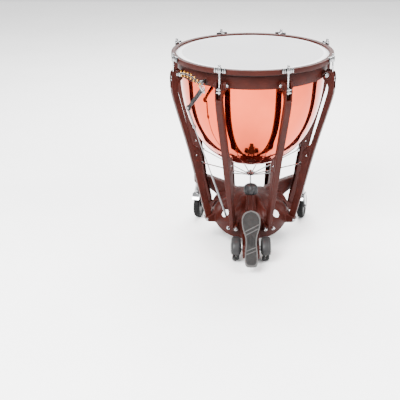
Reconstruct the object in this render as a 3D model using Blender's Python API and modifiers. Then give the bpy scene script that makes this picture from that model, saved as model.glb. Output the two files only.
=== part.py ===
"""Pedal timpani with a suspended copper kettle, a 26 inch drum on a cast pedal base.

Metres, +Z up.  The player stands at -Y.  Azimuths are measured round the drum's own
vertical axis from the player's side (-Y), and are positive towards +X.
"""

import math

import bmesh
import bpy
import numpy as np
from mathutils import Matrix, Vector

# ---------------------------------------------------------------- driving dimensions
AXIS_Y = 0.04807  # the drum's axis lies this far behind the middle of the whole footprint
GAP = 0.0003  # gap left between pieces that touch
ROUND = 48  # sides of the large turned pieces
DOME_ROUND = 48  # sides of the base's dome
SMALL_ROUND = 12  # sides of the small turned pieces

STATIONS = (-157.5, -112.5, -67.5, -22.5, 22.5, 67.5, 112.5, 157.5)

BEARING_EDGE_R = 0.330
BEARING_EDGE_Z = 0.8952
KETTLE_POLE_Z = 0.377
KETTLE_EQUATOR_Z = 0.885
KETTLE_WALL = 0.0016
KETTLE_VENT_R = 0.012
LIP_R = 0.3382
LIP_Z = (0.8684, 0.8714)

RING_R = (0.3318, 0.3370)
RING_Z = (0.811, 0.868)

FILM_T = 0.0008
FILM_EDGE = (0.3450, 0.8900)
FLESH_HOOP_R = (0.3476, 0.3556)
FLESH_HOOP_Z = (0.8822, 0.8926)
HOOP_R = (0.3456, 0.3660)
HOOP_Z = (0.878, 0.901)
HOOP_FLANGE_T = 0.008
HOOP_SKIRT_T = 0.0076
CLAW = (0.051, 0.020, 0.024)  # width, reach outwards, height
CLAW_Z = 0.8975

ROD_R = 0.3770
ROD_HOLE_R = 0.0050
ROD_TOP_Z = 0.922
ROD_BOTTOM_Z = 0.791

STRUT_W = 0.030
STRUT_BLADE_W = 0.016
STRUT_WAIST_Z = (0.140, 0.375)  # below the first it is a blade, above the second full width
CHANNEL_W = 0.0205
STRUT_OUTER = (
    (0.379, 0.846), (0.388, 0.838), (0.391, 0.815), (0.389, 0.765), (0.379, 0.708),
    (0.310, 0.464), (0.2620, 0.262), (0.2345, 0.150), (0.226, 0.112), (0.222, 0.100),
)
STRUT_INNER = (
    (0.2005, 0.100), (0.2015, 0.150), (0.2165, 0.211), (0.2300, 0.266), (0.2370, 0.315),
    (0.2480, 0.375), (0.2540, 0.420), (0.2580, 0.462), (0.2700, 0.477), (0.2860, 0.489),
    (0.3010, 0.520), (0.3535, 0.714), (0.3635, 0.764), (0.3600, 0.785), (0.3500, 0.797),
    (0.3375, 0.8075), (0.3375, 0.838),
)
STRUT_TOP_SLOT = ((0.366, 0.783), (0.410, 0.781), (0.410, 0.860), (0.366, 0.860))
STRUT_CHANNEL = (
    (0.19, 0.160), (0.2320, 0.160), (0.2570, 0.262), (0.3000, 0.4415), (0.3025, 0.4555),
    (0.24, 0.4555), (0.19, 0.300),
)

ROCKER_PIVOT = (0.276, 0.441)  # radius, height
ROCKER_SPOKE_END = (0.256, 0.400)
ROCKER_LINK_END = (0.291, 0.444)
ROCKER_T = 0.008
ROCKER_EYE_R = 0.007
SPOKE_HUB_END = (0.024, 0.312)
SPOKE_R = 0.0025
SPOKE_FORK = (0.0150, 0.022, 0.009)  # width over both prongs, length, height
SPOKE_FORK_GAP = 0.0096

HUB_R = 0.020
HUB_Z = (0.301, 0.329)
PULL_ROD_R = 0.004
PULL_ROD_BOTTOM_Z = 0.106

DOME_OUTER = (
    (0, 0.231), (0.050, 0.229), (0.072, 0.221), (0.155, 0.172), (0.178, 0.148), (0.186, 0.126),
)
DOME_INNER = (
    (0, 0.2235), (0.048, 0.2215), (0.066, 0.2140), (0.149, 0.1650), (0.171, 0.142),
    (0.1785, 0.123),
)
RIM_Z = 0.0527  # lowest edge of the skirt, at the front and the back
RIM_RISE = 53.8  # how fast the edge rises to the sides, with the fourth power of x
RIM_HIGHEST_Z = 0.099
DOME_HOLE_R = 0.010
WINDOW_AZIMUTHS = (-90.0, -45.0, 45.0, 90.0, 180.0)
WINDOW_R = 0.020
WINDOW_AT = (0.172, 0.161)
LOBE_W = 0.0406
LOBE_OUTLINE = (
    (0.080, 0.214), (0.140, 0.193), (0.172, 0.180), (0.190, 0.164), (0.198, 0.139),
    (0.227, 0.129), (0.227, 0.100), (0.190, 0.092), (0.130, 0.110), (0.080, 0.150),
)
LUG_SLOT_R = 0.1995

ARM_AZIMUTH = 125.75
CASTER_R = 0.3167
ARM_R = (0.040, 0.080, 0.120, 0.170, 0.200, 0.240, 0.280, 0.320)
ARM_LOW_Z = (0.150, 0.150, 0.150, 0.156, 0.173, 0.190, 0.1915, 0.1920)
ARM_HIGH_Z = (0.208, 0.222, 0.231, 0.239, 0.2415, 0.245, 0.246, 0.246)
ARM_STEPS = 6
ARM_SECTION = (
    (-0.024, 0.0), (0.024, 0.0), (0.027, 0.40), (0.018, 0.93), (0.006, 1.0),
    (-0.006, 1.0), (-0.018, 0.93), (-0.027, 0.40),
)
BOSS_R = 0.0175
BOSS_Z = (0.1915, 0.249)

NOSE_Y = -0.3865
FRONT_ARM_HALF_W = 0.0385
FRONT_ARM_Z = (0.038, 0.078)
FRONT_SLOT_HALF_W = 0.022
FRONT_SLOT_Y = (-0.3795, -0.100)

PEDAL_ANGLE = math.radians(36)
PEDAL_HEEL = (-0.463, 0.045)
PEDAL_LENGTH = 0.290
PEDAL_T = 0.010
PEDAL_RIM = 0.0045
PEDAL_RECESS = 0.0022
PEDAL_HALF_WIDTHS = (
    (0.002, 0.0170), (0.012, 0.0262), (0.035, 0.0290), (0.070, 0.0282), (0.105, 0.0252),
    (0.135, 0.0252), (0.165, 0.0300), (0.200, 0.0390), (0.230, 0.0425), (0.255, 0.0400),
    (0.278, 0.0275),
)
PEDAL_PIVOT = (-0.352, 0.088)
LINK_ARM = 0.048
AXLE_R = 0.006
PIN_R = 0.004
CRANK_PIVOT_Y = -0.050
DRAW_BAR_X = (0.0085, 0.0145)

COLUMN_FOOT = (-0.1343, 0.1780)
COLUMN_TOP = (-0.1190, 0.2500)
COLUMN_R = (0.0310, 0.0205)
COLUMN_BORE_R = 0.0165
COLUMN_POCKET_R = 0.0316
COLUMN_BOSS_R = 0.0338
COLUMN_FLUTES = 6
SPRING_R = 0.0115
SPRING_WIRE_R = 0.0018
SPRING_TURNS = 5
KNOB_R = 0.0355
KNOB_HEIGHT = 0.054
KNOB_LOBES = 6

OMNI_X = 0.068
OMNI_Y = -0.296
OMNI_R = 0.050
OMNI_HALF_W = 0.019
OMNI_BORE_R = 0.0056
STUB_R = 0.005
HOOD_R = 0.0605
HOOD_HALF_W = 0.0255
HOOD_WALL = 0.003

CASTER_TRAIL = 0.028
CASTER_WHEEL_R = 0.0635
CASTER_TYRE_HALF_W = 0.0150
CASTER_TURN = math.radians(-14)  # how far the casters have swivelled from straight back
CASTER_CROWN_Z = 0.132
CASTER_HEAD = ((0.0105, 0.1910), (0.0120, 0.1720), (0.0160, 0.1530), (0.0175, 0.1340))
CASTER_STEM_R = 0.006
CASTER_STEM_TOP_Z = 0.242
FORK_T = 0.0025
FORK_GAP_HALF = 0.0167
BRAKE_PIVOT = (-0.0285, 0.1400)
BRAKE_W = 0.035

GAUGE_AZIMUTH = -48.0
GAUGE_PIVOT = (0.372, 0.705)
GAUGE_ARC_R = (0.1415, 0.1525)
GAUGE_ARC_DEG = (42.0, 124.0)
GAUGE_T = 0.003
POINTER_REST_DEG = 50.0
LINK_TOP = (0.010, -0.007)
LINK_FOOT = (-0.113, -0.113, 0.1365)


# ---------------------------------------------------------------- collections, materials
def clear_scene():
    for item in list(bpy.data.objects):
        bpy.data.objects.remove(item, do_unlink=True)


def new_collection(name):
    collection = bpy.data.collections.new(name)
    bpy.context.scene.collection.children.link(collection)
    return collection


def new_material(name, colour, roughness, metallic):
    material = bpy.data.materials.new(name)
    material.use_nodes = True
    shader = material.node_tree.nodes["Principled BSDF"]
    shader.inputs["Base Color"].default_value = (*colour, 1.0)
    shader.inputs["Roughness"].default_value = roughness
    shader.inputs["Metallic"].default_value = metallic
    return material


clear_scene()
PARTS = new_collection("timpani")
CUTTERS = new_collection("cutters")
COPPER = ("copper", (0.86, 0.40, 0.28), 0.12, 1.0)
BROWN = ("brown_powder_coat", (0.165, 0.040, 0.026), 0.45, 0.0)
CHROME = ("chrome", (0.78, 0.78, 0.78), 0.12, 1.0)
STEEL = ("steel", (0.55, 0.55, 0.56), 0.30, 1.0)
GREY = ("grey_moulding", (0.12, 0.12, 0.12), 0.50, 0.0)
DARK = ("dark_rubber", (0.03, 0.03, 0.03), 0.75, 0.0)
FILM = ("drumhead_film", (0.80, 0.80, 0.79), 0.45, 0.0)


# ---------------------------------------------------------------- building blocks
def add_part(name, mesh, look, location=(0, 0, 0), rotation_z=0.0, parent=None):
    """A piece of the drum, placed in the frame of its parent, which is the drum's axis."""
    part = bpy.data.objects.new(name, mesh)
    part.location = location
    part.rotation_euler.z = rotation_z
    part.parent = parent or DRUM_AXIS
    mesh.materials.clear()
    mesh.materials.append(new_material(name, *look[1:]))
    mesh.shade_smooth()
    mesh.set_sharp_from_angle(angle=math.radians(35))
    PARTS.objects.link(part)
    return part


def helper(mesh):
    """A hidden object that is only joined to a piece or cut out of it."""
    made = bpy.data.objects.new("helper", mesh)
    made.hide_render = True
    made.display_type = "WIRE"
    CUTTERS.objects.link(made)
    return made


def baked(mesh, steps):
    """The mesh after a list of (operation, other mesh) Booleans, as a new mesh."""
    body = helper(mesh)
    others = []
    for operation, other in steps:
        tool = helper(other)
        others.append(tool)
        modifier = body.modifiers.new(operation, "BOOLEAN")
        modifier.operation = operation
        modifier.solver = "EXACT"
        modifier.object = tool
    bpy.context.view_layer.update()
    graph = bpy.context.evaluated_depsgraph_get()
    result = bpy.data.meshes.new_from_object(body.evaluated_get(graph))
    for item in [body, *others]:
        bpy.data.objects.remove(item, do_unlink=True)
    return result


def mesh_of(bm, name="mesh"):
    mesh = bpy.data.meshes.new(name)
    bmesh.ops.recalc_face_normals(bm, faces=bm.faces)
    bm.to_mesh(mesh)
    bm.free()
    return mesh


def box(low, high):
    bm = bmesh.new()
    bmesh.ops.create_cube(bm, size=1.0)
    size = [b - a for a, b in zip(low, high)]
    middle = [(a + b) / 2 for a, b in zip(low, high)]
    bmesh.ops.scale(bm, vec=size, verts=bm.verts)
    bmesh.ops.translate(bm, vec=middle, verts=bm.verts)
    return mesh_of(bm)


def rod(start, end, radius, end_radius=None, sides=SMALL_ROUND):
    """A round bar, or a cone, from one point to another."""
    start = Vector(start)
    along = Vector(end) - start
    turn = along.to_track_quat("Z", "Y").to_matrix().to_4x4()
    bm = bmesh.new()
    bmesh.ops.create_cone(
        bm, cap_ends=True, segments=sides, radius1=radius,
        radius2=radius if end_radius is None else end_radius, depth=along.length,
        matrix=Matrix.Translation(start + along / 2) @ turn,
    )
    return mesh_of(bm)


def turned(profile, sides=ROUND, closed=False, wave=None):
    """A solid turned about Z from (radius, height) points that run down its outer side."""
    mesh = bpy.data.meshes.new("turned")
    count = len(profile)
    edges = [(i, i + 1) for i in range(count - 1)]
    if closed:
        edges.append((count - 1, 0))
    mesh.from_pydata([(r, 0, z) for r, z in profile], edges, [])
    shape = helper(mesh)
    screw = shape.modifiers.new("turn", "SCREW")
    screw.steps = sides
    screw.render_steps = sides
    screw.use_merge_vertices = True
    screw.merge_threshold = 0.00001
    bpy.context.view_layer.update()
    graph = bpy.context.evaluated_depsgraph_get()
    bm = bmesh.new()
    bm.from_mesh(shape.evaluated_get(graph).to_mesh())
    bpy.data.objects.remove(shape, do_unlink=True)
    bmesh.ops.remove_doubles(bm, verts=bm.verts, dist=0.00001)
    if wave:
        for vert in bm.verts:
            vert.co = wave(vert.co)
    return mesh_of(bm)


def plate(outline, thickness, smooth=False, resolution=4):
    """A flat plate in the local XY plane, with its thickness shared about Z = 0."""
    curve = bpy.data.curves.new("outline", "CURVE")
    curve.dimensions = "2D"
    curve.fill_mode = "BOTH"
    curve.extrude = thickness / 2
    curve.resolution_u = resolution
    spline = curve.splines.new("BEZIER" if smooth else "POLY")
    points = spline.bezier_points if smooth else spline.points
    points.add(len(outline) - 1)
    for point, (x, y) in zip(points, outline):
        if smooth:
            point.co = (x, y, 0)
            point.handle_left_type = "AUTO"
            point.handle_right_type = "AUTO"
        else:
            point.co = (x, y, 0, 1)
    spline.use_cyclic_u = True
    shape = bpy.data.objects.new("outline", curve)
    CUTTERS.objects.link(shape)
    bpy.context.view_layer.update()
    graph = bpy.context.evaluated_depsgraph_get()
    bm = bmesh.new()
    bm.from_mesh(shape.evaluated_get(graph).to_mesh())
    bpy.data.objects.remove(shape, do_unlink=True)
    bmesh.ops.remove_doubles(bm, verts=bm.verts, dist=0.00001)
    return mesh_of(bm)


def moved(mesh, matrix):
    mesh.transform(matrix)
    if matrix.determinant() < 0:
        mesh.flip_normals()
    return mesh


def upright(mesh):
    """Turns a plate so that its X runs outwards at azimuth 0 and its Y runs up."""
    return moved(mesh, Matrix(((0, 0, -1, 0), (-1, 0, 0, 0), (0, 1, 0, 0), (0, 0, 0, 1))))


def side_plate(outline, thickness, x=0.0):
    """A plate drawn in the (y, z) plane, centred on the given x."""
    turn = Matrix(((0, 0, 1, x), (1, 0, 0, 0), (0, 1, 0, 0), (0, 0, 0, 1)))
    return moved(plate(outline, thickness), turn)


def arc_points(centre, radius, start_deg, end_deg, count):
    points = []
    for i in range(count + 1):
        angle = math.radians(start_deg + (end_deg - start_deg) * i / count)
        points.append((centre[0] + radius * math.cos(angle), centre[1] + radius * math.sin(angle)))
    return points


def capsule(first, second, radius, steps=5):
    """The outline of a bar with round ends."""
    heading = math.degrees(math.atan2(second[1] - first[1], second[0] - first[0]))
    near = arc_points(first, radius, heading + 90, heading + 270, steps)
    far = arc_points(second, radius, heading - 90, heading + 90, steps)
    return near + far


def outward(azimuth):
    angle = math.radians(azimuth)
    return Vector((math.sin(angle), -math.cos(angle), 0))


def at(azimuth, radius, height):
    return outward(azimuth) * radius + Vector((0, 0, height))


def mirrored(mesh):
    copy = mesh.copy()
    return moved(copy, Matrix.Diagonal((-1, 1, 1, 1)))


DRUM_AXIS = bpy.data.objects.new("drum_axis", None)
DRUM_AXIS.location = (0, AXIS_Y, 0)
PARTS.objects.link(DRUM_AXIS)


# ---------------------------------------------------------------- kettle, ring, head, hoop
def kettle_radius(height):
    """Radius of the kettle's outer side below its widest level."""
    depth = KETTLE_EQUATOR_Z - KETTLE_POLE_Z
    t = max(0.0, (KETTLE_EQUATOR_Z - height) / depth)
    return BEARING_EDGE_R * (1 - t**2.35) ** 0.415


def make_kettle():
    outer = [(BEARING_EDGE_R - 0.001, BEARING_EDGE_Z), (BEARING_EDGE_R, BEARING_EDGE_Z - 0.002)]
    outer += [(BEARING_EDGE_R, LIP_Z[1]), (LIP_R, LIP_Z[1]), (LIP_R, LIP_Z[0])]
    outer.append((BEARING_EDGE_R, LIP_Z[0]))
    inner = []
    for height in (0.78, 0.66, 0.55, 0.47, 0.42, 0.393):
        outer.append((kettle_radius(height), height))
        inner.append((kettle_radius(height) - KETTLE_WALL, height + KETTLE_WALL))
    outer.append((KETTLE_VENT_R, KETTLE_POLE_Z))
    inner.append((KETTLE_VENT_R, KETTLE_POLE_Z + KETTLE_WALL))
    inner.reverse()
    top = [(BEARING_EDGE_R - 0.004, LIP_Z[0]), (BEARING_EDGE_R - 0.004, BEARING_EDGE_Z)]
    add_part("kettle_bowl", turned(outer + inner + top, closed=True), COPPER)


def make_support_ring():
    profile = [(RING_R[1], RING_Z[1]), (RING_R[1], RING_Z[0])]
    profile += [(RING_R[0], RING_Z[0]), (RING_R[0], RING_Z[1])]
    add_part("support_ring", turned(profile, closed=True), BROWN)


def make_drumhead():
    low = BEARING_EDGE_Z + GAP
    high = low + FILM_T
    profile = [(0, high), (0.331, high), (FILM_EDGE[0], FILM_EDGE[1] + FILM_T)]
    profile += [FILM_EDGE, (0.331, low), (0, low)]
    add_part("drumhead", turned(profile), FILM)


def make_flesh_hoop():
    profile = [(FLESH_HOOP_R[1], FLESH_HOOP_Z[1]), (FLESH_HOOP_R[1], FLESH_HOOP_Z[0])]
    profile += [(FLESH_HOOP_R[0], FLESH_HOOP_Z[0]), (FLESH_HOOP_R[0], FLESH_HOOP_Z[1])]
    add_part("flesh_hoop", turned(profile, closed=True), STEEL)


def make_counterhoop():
    """The pressure hoop with the eight claws that the tension rods pull on."""
    skirt_r = HOOP_R[1] - HOOP_SKIRT_T
    flange_z = HOOP_Z[1] - HOOP_FLANGE_T
    profile = [(HOOP_R[1], HOOP_Z[1]), (HOOP_R[1], HOOP_Z[0]), (skirt_r, HOOP_Z[0])]
    profile += [(skirt_r, flange_z), (HOOP_R[0], flange_z), (HOOP_R[0], HOOP_Z[1])]
    steps = []
    for azimuth in STATIONS:
        turn = Matrix.Rotation(math.radians(azimuth), 4, "Z")
        low = (-CLAW[0] / 2, -HOOP_R[1] - CLAW[1], CLAW_Z - CLAW[2] / 2)
        high = (CLAW[0] / 2, -HOOP_R[1] + 0.004, CLAW_Z + CLAW[2] / 2)
        steps.append(("UNION", moved(box(low, high), turn)))
        hole = rod(at(azimuth, ROD_R, 0.86), at(azimuth, ROD_R, 0.93), ROD_HOLE_R, sides=10)
        steps.append(("DIFFERENCE", hole))
    hoop = baked(turned(profile, closed=True), steps)
    add_part("counterhoop", hoop, BROWN)


def make_tension_rods():
    """Square-headed rod, threaded shank and the round swivel nut at its lower end."""
    top = ROD_TOP_Z - 0.011
    profile = [
        (0, top + 0.0005), (0.0075, top + 0.0005), (0.0075, top - 0.001),
        (0.0040, top - 0.001), (0.0040, 0.8225), (0.0088, 0.8210), (0.0088, 0.7960),
        (0.0060, ROD_BOTTOM_Z), (0, ROD_BOTTOM_Z),
    ]
    head = box((-0.0046, -0.0046, top - 0.0005), (0.0046, 0.0046, ROD_TOP_Z))
    mesh = baked(turned(profile, sides=10), [("UNION", head)])
    for number, azimuth in enumerate(STATIONS, 1):
        spot = at(azimuth, ROD_R, 0)
        add_part(f"tension_rod_{number}", mesh.copy(), CHROME, spot, math.radians(azimuth))


# ---------------------------------------------------------------- struts and linkage
def waisted(mesh):
    """Narrows the part of a strut below its lever housing down to the blade at its foot."""
    low, high = STRUT_WAIST_Z
    least = STRUT_BLADE_W / STRUT_W
    for vert in mesh.vertices:
        vert.co.x *= np.interp(vert.co.z, (low, high), (least, 1.0))
    return mesh


def make_struts():
    """Hollow cast arm: open channel on its inner side, forked top, blade foot."""
    body = upright(plate(STRUT_OUTER + STRUT_INNER, STRUT_W))
    steps = [
        ("DIFFERENCE", upright(plate(STRUT_TOP_SLOT, CHANNEL_W))),
        ("DIFFERENCE", upright(plate(STRUT_CHANNEL, CHANNEL_W))),
    ]
    mesh = waisted(baked(body, steps))
    for number, azimuth in enumerate(STATIONS, 1):
        add_part(f"strut_{number}", mesh.copy(), BROWN, (0, 0, 0), math.radians(azimuth))


def relative(point, pivot):
    return (point[0] - pivot[0], point[1] - pivot[1])


def make_rockers():
    """Bell-crank lever inside each strut: the spoke pulls its foot, the outer end pulls down."""
    foot = relative(ROCKER_SPOKE_END, ROCKER_PIVOT)
    nose = relative(ROCKER_LINK_END, ROCKER_PIVOT)
    lower = upright(plate(capsule((0, 0), foot, ROCKER_EYE_R, 4), ROCKER_T))
    upper = upright(plate(capsule((0, 0), nose, ROCKER_EYE_R - 0.001, 4), ROCKER_T - 0.001))
    mesh = baked(lower, [("UNION", upper)])
    for number, azimuth in enumerate(STATIONS, 1):
        spot = at(azimuth, *ROCKER_PIVOT)
        add_part(f"rocker_lever_{number}", mesh.copy(), STEEL, spot, math.radians(azimuth))


def make_spokes():
    """Thin rod from the spider to each rocker, with a fork at its outer end."""
    run = Vector((ROCKER_SPOKE_END[0] - SPOKE_HUB_END[0], ROCKER_SPOKE_END[1] - SPOKE_HUB_END[1]))
    length = run.length
    tilt = math.atan2(run.y, run.x)
    width, reach, height = SPOKE_FORK
    fork_start = length - reach + 0.006
    shaft = rod((0.0, 0, 0), (fork_start + 0.002, 0, 0), SPOKE_R, sides=8)
    eye = rod((0, 0.0035, 0), (0, -0.0035, 0), 0.0045, sides=10)
    fork = box((fork_start, -width / 2, -height / 2), (fork_start + reach, width / 2, height / 2))
    gap_low = (fork_start + 0.004, -SPOKE_FORK_GAP / 2, -height)
    gap_high = (fork_start + reach + 0.01, SPOKE_FORK_GAP / 2, height)
    fork = baked(fork, [("DIFFERENCE", box(gap_low, gap_high))])
    mesh = baked(shaft, [("UNION", eye), ("UNION", fork)])
    lean = Matrix.Rotation(-tilt, 4, "Y")
    face_out = Matrix.Rotation(math.radians(-90), 4, "Z")
    mesh = moved(mesh, face_out @ lean)
    for number, azimuth in enumerate(STATIONS, 1):
        spot = at(azimuth, *SPOKE_HUB_END)
        add_part(f"spoke_{number}", mesh.copy(), STEEL, spot, math.radians(azimuth))


def make_spider():
    low, high = HUB_Z
    profile = [(0, high), (0.008, high), (0.0095, high - 0.008), (HUB_R - 0.002, high - 0.010)]
    profile += [(HUB_R - 0.002, low + 0.004), (0.010, low), (0, low)]
    hub = turned(profile, sides=16)
    bore = rod((0, 0, low - 0.01), (0, 0, low + 0.012), PULL_ROD_R + GAP, sides=12)
    add_part("spider_hub", baked(hub, [("DIFFERENCE", bore)]), CHROME)


def make_pull_rod():
    """Rod from the spider down to the yoke that hangs on the bell crank."""
    shaft = rod((0, 0, PULL_ROD_BOTTOM_Z), (0, 0, HUB_Z[0] + 0.011), PULL_ROD_R, sides=12)
    yoke = box((-0.0105, -0.009, 0.078), (0.0105, 0.009, PULL_ROD_BOTTOM_Z + 0.004))
    slot = box((-0.0065, -0.02, 0.07), (0.0065, 0.02, PULL_ROD_BOTTOM_Z - 0.003))
    add_part("pull_rod", baked(shaft, [("UNION", yoke), ("DIFFERENCE", slot)]), STEEL)


# ---------------------------------------------------------------- base casting
def rim_height(x):
    """Lower edge of the skirt, lowest at the front and back and higher at the sides."""
    return min(RIM_HIGHEST_Z, RIM_Z + RIM_RISE * x**4)


def dip_rim(point):
    if point.z < 0.06 and Vector((point.x, point.y)).length > 0.05:
        point.z = rim_height(point.x)
    return point


def make_base():
    """Cast dome on a skirt, a lobe to each strut's foot, the rear arms and the front arm."""
    outer = [*DOME_OUTER, (DOME_OUTER[-1][0], 0.05), (0, 0.05)]
    inner = [*DOME_INNER, (DOME_INNER[-1][0], 0), (0, 0)]
    steps = []
    for azimuth in STATIONS:
        turn = Matrix.Rotation(math.radians(azimuth), 4, "Z")
        steps.append(("UNION", moved(upright(plate(LOBE_OUTLINE, LOBE_W)), turn)))
    for side in (-1, 1):
        steps.append(("UNION", rear_arm(side)))
    column_boss = rod((0, 0, -0.058), (0, 0, 0), COLUMN_BOSS_R, sides=20)
    steps.append(("UNION", moved(column_boss, column_frame())))
    steps.append(("DIFFERENCE", turned(inner, sides=DOME_ROUND)))
    for side in (-1, 1):
        steps.append(("UNION", rear_boss(side)))
        stem_spot = at(side * ARM_AZIMUTH, CASTER_R, 0)
        low = stem_spot + Vector((0, 0, 0.15))
        high = stem_spot + Vector((0, 0, CASTER_STEM_TOP_Z + 0.0006))
        steps.append(("DIFFERENCE", rod(low, high, CASTER_STEM_R + 0.0006, sides=12)))
    steps += front_arm_steps()
    steps += hanger_steps()
    for azimuth in WINDOW_AZIMUTHS:
        middle = at(azimuth, *WINDOW_AT)
        lean = (outward(azimuth) + Vector((0, 0, 0.9))) * 0.03
        steps.append(("DIFFERENCE", rod(middle - lean, middle + lean, WINDOW_R, sides=16)))
    for azimuth in STATIONS:
        turn = Matrix.Rotation(math.radians(azimuth), 4, "Z")
        half = STRUT_BLADE_W / 2 + GAP
        slot = box((-half, -0.30, 0.08), (half, -LUG_SLOT_R, 0.20))
        steps.append(("DIFFERENCE", moved(slot, turn)))
    steps.append(("DIFFERENCE", rod((0, 0, 0.20), (0, 0, 0.25), DOME_HOLE_R)))
    steps.append(("DIFFERENCE", column_pocket()))
    mesh = turned(outer, sides=DOME_ROUND, wave=dip_rim)
    for operation, other in steps:
        mesh = baked(mesh, [(operation, other)])
    add_part("base_casting", mesh, BROWN)


def rear_arm(side):
    """Arm to a caster: deep at the dome, ridged on top, thinner towards its end."""
    length = ARM_R[-1] - ARM_R[0]
    middle = (ARM_R[-1] + ARM_R[0]) / 2
    bm = bmesh.new()
    bm.from_mesh(plate(ARM_SECTION, length))
    long_edges = []
    for edge in bm.edges:
        if abs(edge.verts[0].co.z - edge.verts[1].co.z) > length / 2:
            long_edges.append(edge)
    bmesh.ops.subdivide_edges(bm, edges=long_edges, cuts=ARM_STEPS)
    for vert in bm.verts:
        across, share, along = vert.co
        radius = middle + along
        low = np.interp(radius, ARM_R, ARM_LOW_Z)
        high = np.interp(radius, ARM_R, ARM_HIGH_Z)
        vert.co = (across, -radius, low + share * (high - low))
    return moved(mesh_of(bm), Matrix.Rotation(math.radians(side * ARM_AZIMUTH), 4, "Z"))


def rear_boss(side):
    spot = at(side * ARM_AZIMUTH, CASTER_R, 0)
    low, high = BOSS_Z
    profile = [(0, high), (BOSS_R - 0.003, high), (BOSS_R, high - 0.003), (BOSS_R, low), (0, low)]
    return moved(turned(profile, sides=20), Matrix.Translation(spot))


def front_arm_steps():
    """Two cheeks under the pedal that carry its axle and the stub axles of the front wheels."""
    low, high = FRONT_ARM_Z
    outline = [(NOSE_Y + 0.014, low), (-0.150, low + 0.016), (-0.150, high + 0.010), (-0.200, high)]
    outline += [(NOSE_Y + 0.006, high), (NOSE_Y, high - 0.008), (NOSE_Y, low + 0.016)]
    half_w = FRONT_ARM_HALF_W
    steps = [("UNION", side_plate(outline, 2 * half_w))]
    y, z = PEDAL_PIVOT
    lug = capsule((y, z - 0.03), (y, z), 0.0135, 6)
    steps.append(("UNION", side_plate(lug, 2 * half_w + 0.001)))
    slot_w = FRONT_SLOT_HALF_W
    slot_low = (-slot_w, FRONT_SLOT_Y[0], 0.0)
    slot_high = (slot_w, FRONT_SLOT_Y[1], 0.1385)
    steps.append(("DIFFERENCE", box(slot_low, slot_high)))
    axle_hole = rod((-0.05, y, z), (0.05, y, z), AXLE_R + 0.0004)
    steps.append(("DIFFERENCE", axle_hole))
    for side in (-1, 1):
        start = (side * (slot_w + 0.003), OMNI_Y, OMNI_R)
        boss_end = (side * (OMNI_X - HOOD_HALF_W - GAP), OMNI_Y, OMNI_R)
        axle_end = (side * (OMNI_X + OMNI_HALF_W - 0.001), OMNI_Y, OMNI_R)
        steps.append(("UNION", rod(start, boss_end, 0.015, sides=16)))
        steps.append(("UNION", rod(start, axle_end, STUB_R, sides=12)))
    return steps


def hanger_steps():
    """Two plates inside the dome that carry the bell crank's pivot."""
    y = CRANK_PIVOT_Y
    z = PEDAL_PIVOT[1]
    steps = []
    for side in (-1, 1):
        inner = 0.0155
        outer = 0.0205
        low = (min(side * inner, side * outer), y - 0.014, z - 0.010)
        high = (max(side * inner, side * outer), y + 0.014, 0.2195)
        steps.append(("UNION", box(low, high)))
    hole = rod((-0.04, y, z), (0.04, y, z), PIN_R + 0.0005, sides=12)
    steps.append(("DIFFERENCE", hole))
    return steps


# ---------------------------------------------------------------- spring column and knob
def column_frame():
    """Matrix that stands a piece turned about Z on the leaning spring column."""
    foot = Vector((0, *COLUMN_FOOT))
    along = Vector((0, *COLUMN_TOP)) - foot
    return Matrix.Translation(foot) @ along.to_track_quat("Z", "Y").to_matrix().to_4x4()


def column_height():
    return (Vector(COLUMN_TOP) - Vector(COLUMN_FOOT)).length


def column_pocket():
    pocket = rod((0, 0, 0), (0, 0, 0.2), COLUMN_POCKET_R, sides=24)
    return moved(pocket, column_frame())


def fluted(point):
    flat = Vector((point.x, point.y))
    if flat.length < COLUMN_BORE_R + 0.001:
        return point
    angle = math.atan2(point.y, point.x)
    scale = 0.95 + 0.05 * math.cos(COLUMN_FLUTES * (angle + math.pi / 2))
    return Vector((point.x * scale, point.y * scale, point.z))


def make_spring_column():
    """Fluted housing that leans back a little, with the pedal's balance spring inside."""
    height = column_height()
    foot_r, top_r = COLUMN_R
    profile = [(top_r, height), (top_r + 0.002, height * 0.7), (foot_r - 0.006, height * 0.35)]
    profile += [(foot_r, 0.012), (foot_r, GAP), (COLUMN_BORE_R, GAP), (COLUMN_BORE_R, height)]
    housing = turned(profile, sides=36, closed=True, wave=fluted)
    frame = column_frame()
    add_part("spring_housing", moved(housing, frame), BROWN)
    coil = bpy.data.curves.new("coil", "CURVE")
    coil.dimensions = "3D"
    coil.bevel_depth = SPRING_WIRE_R
    coil.bevel_resolution = 2
    coil.use_fill_caps = True
    spline = coil.splines.new("POLY")
    count = SPRING_TURNS * 9
    spline.points.add(count)
    for i, point in enumerate(spline.points):
        angle = math.tau * i / 9
        rise = 0.006 + (height - 0.012) * i / count
        point.co = (SPRING_R * math.cos(angle), SPRING_R * math.sin(angle), rise, 1)
    part = bpy.data.objects.new("balance_spring", coil)
    part.matrix_local = frame
    part.parent = DRUM_AXIS
    coil.materials.append(new_material("balance_spring", *STEEL[1:]))
    PARTS.objects.link(part)


def scalloped(point):
    angle = math.atan2(point.y, point.x)
    depth = 0.13 if Vector((point.x, point.y)).length > 0.024 else 0.0
    scale = 1 - depth * (0.5 - 0.5 * math.cos(KNOB_LOBES * (angle + math.pi / 2))) ** 1.5
    return Vector((point.x * scale, point.y * scale, point.z))


def make_knob():
    """Scalloped dome knob that sets the spring's load."""
    base = 0.0008
    top = KNOB_HEIGHT
    profile = [
        (0, top), (0.013, top - 0.0015), (0.024, top - 0.007), (0.031, top - 0.016),
        (KNOB_R - 0.001, 0.026), (KNOB_R, 0.016), (KNOB_R - 0.003, 0.005), (0.025, base),
        (0, base),
    ]
    frame = column_frame() @ Matrix.Translation((0, 0, column_height()))
    knob = turned(profile, sides=36, wave=scalloped)
    part = add_part("spring_knob", knob, GREY)
    part.matrix_local = frame


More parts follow.
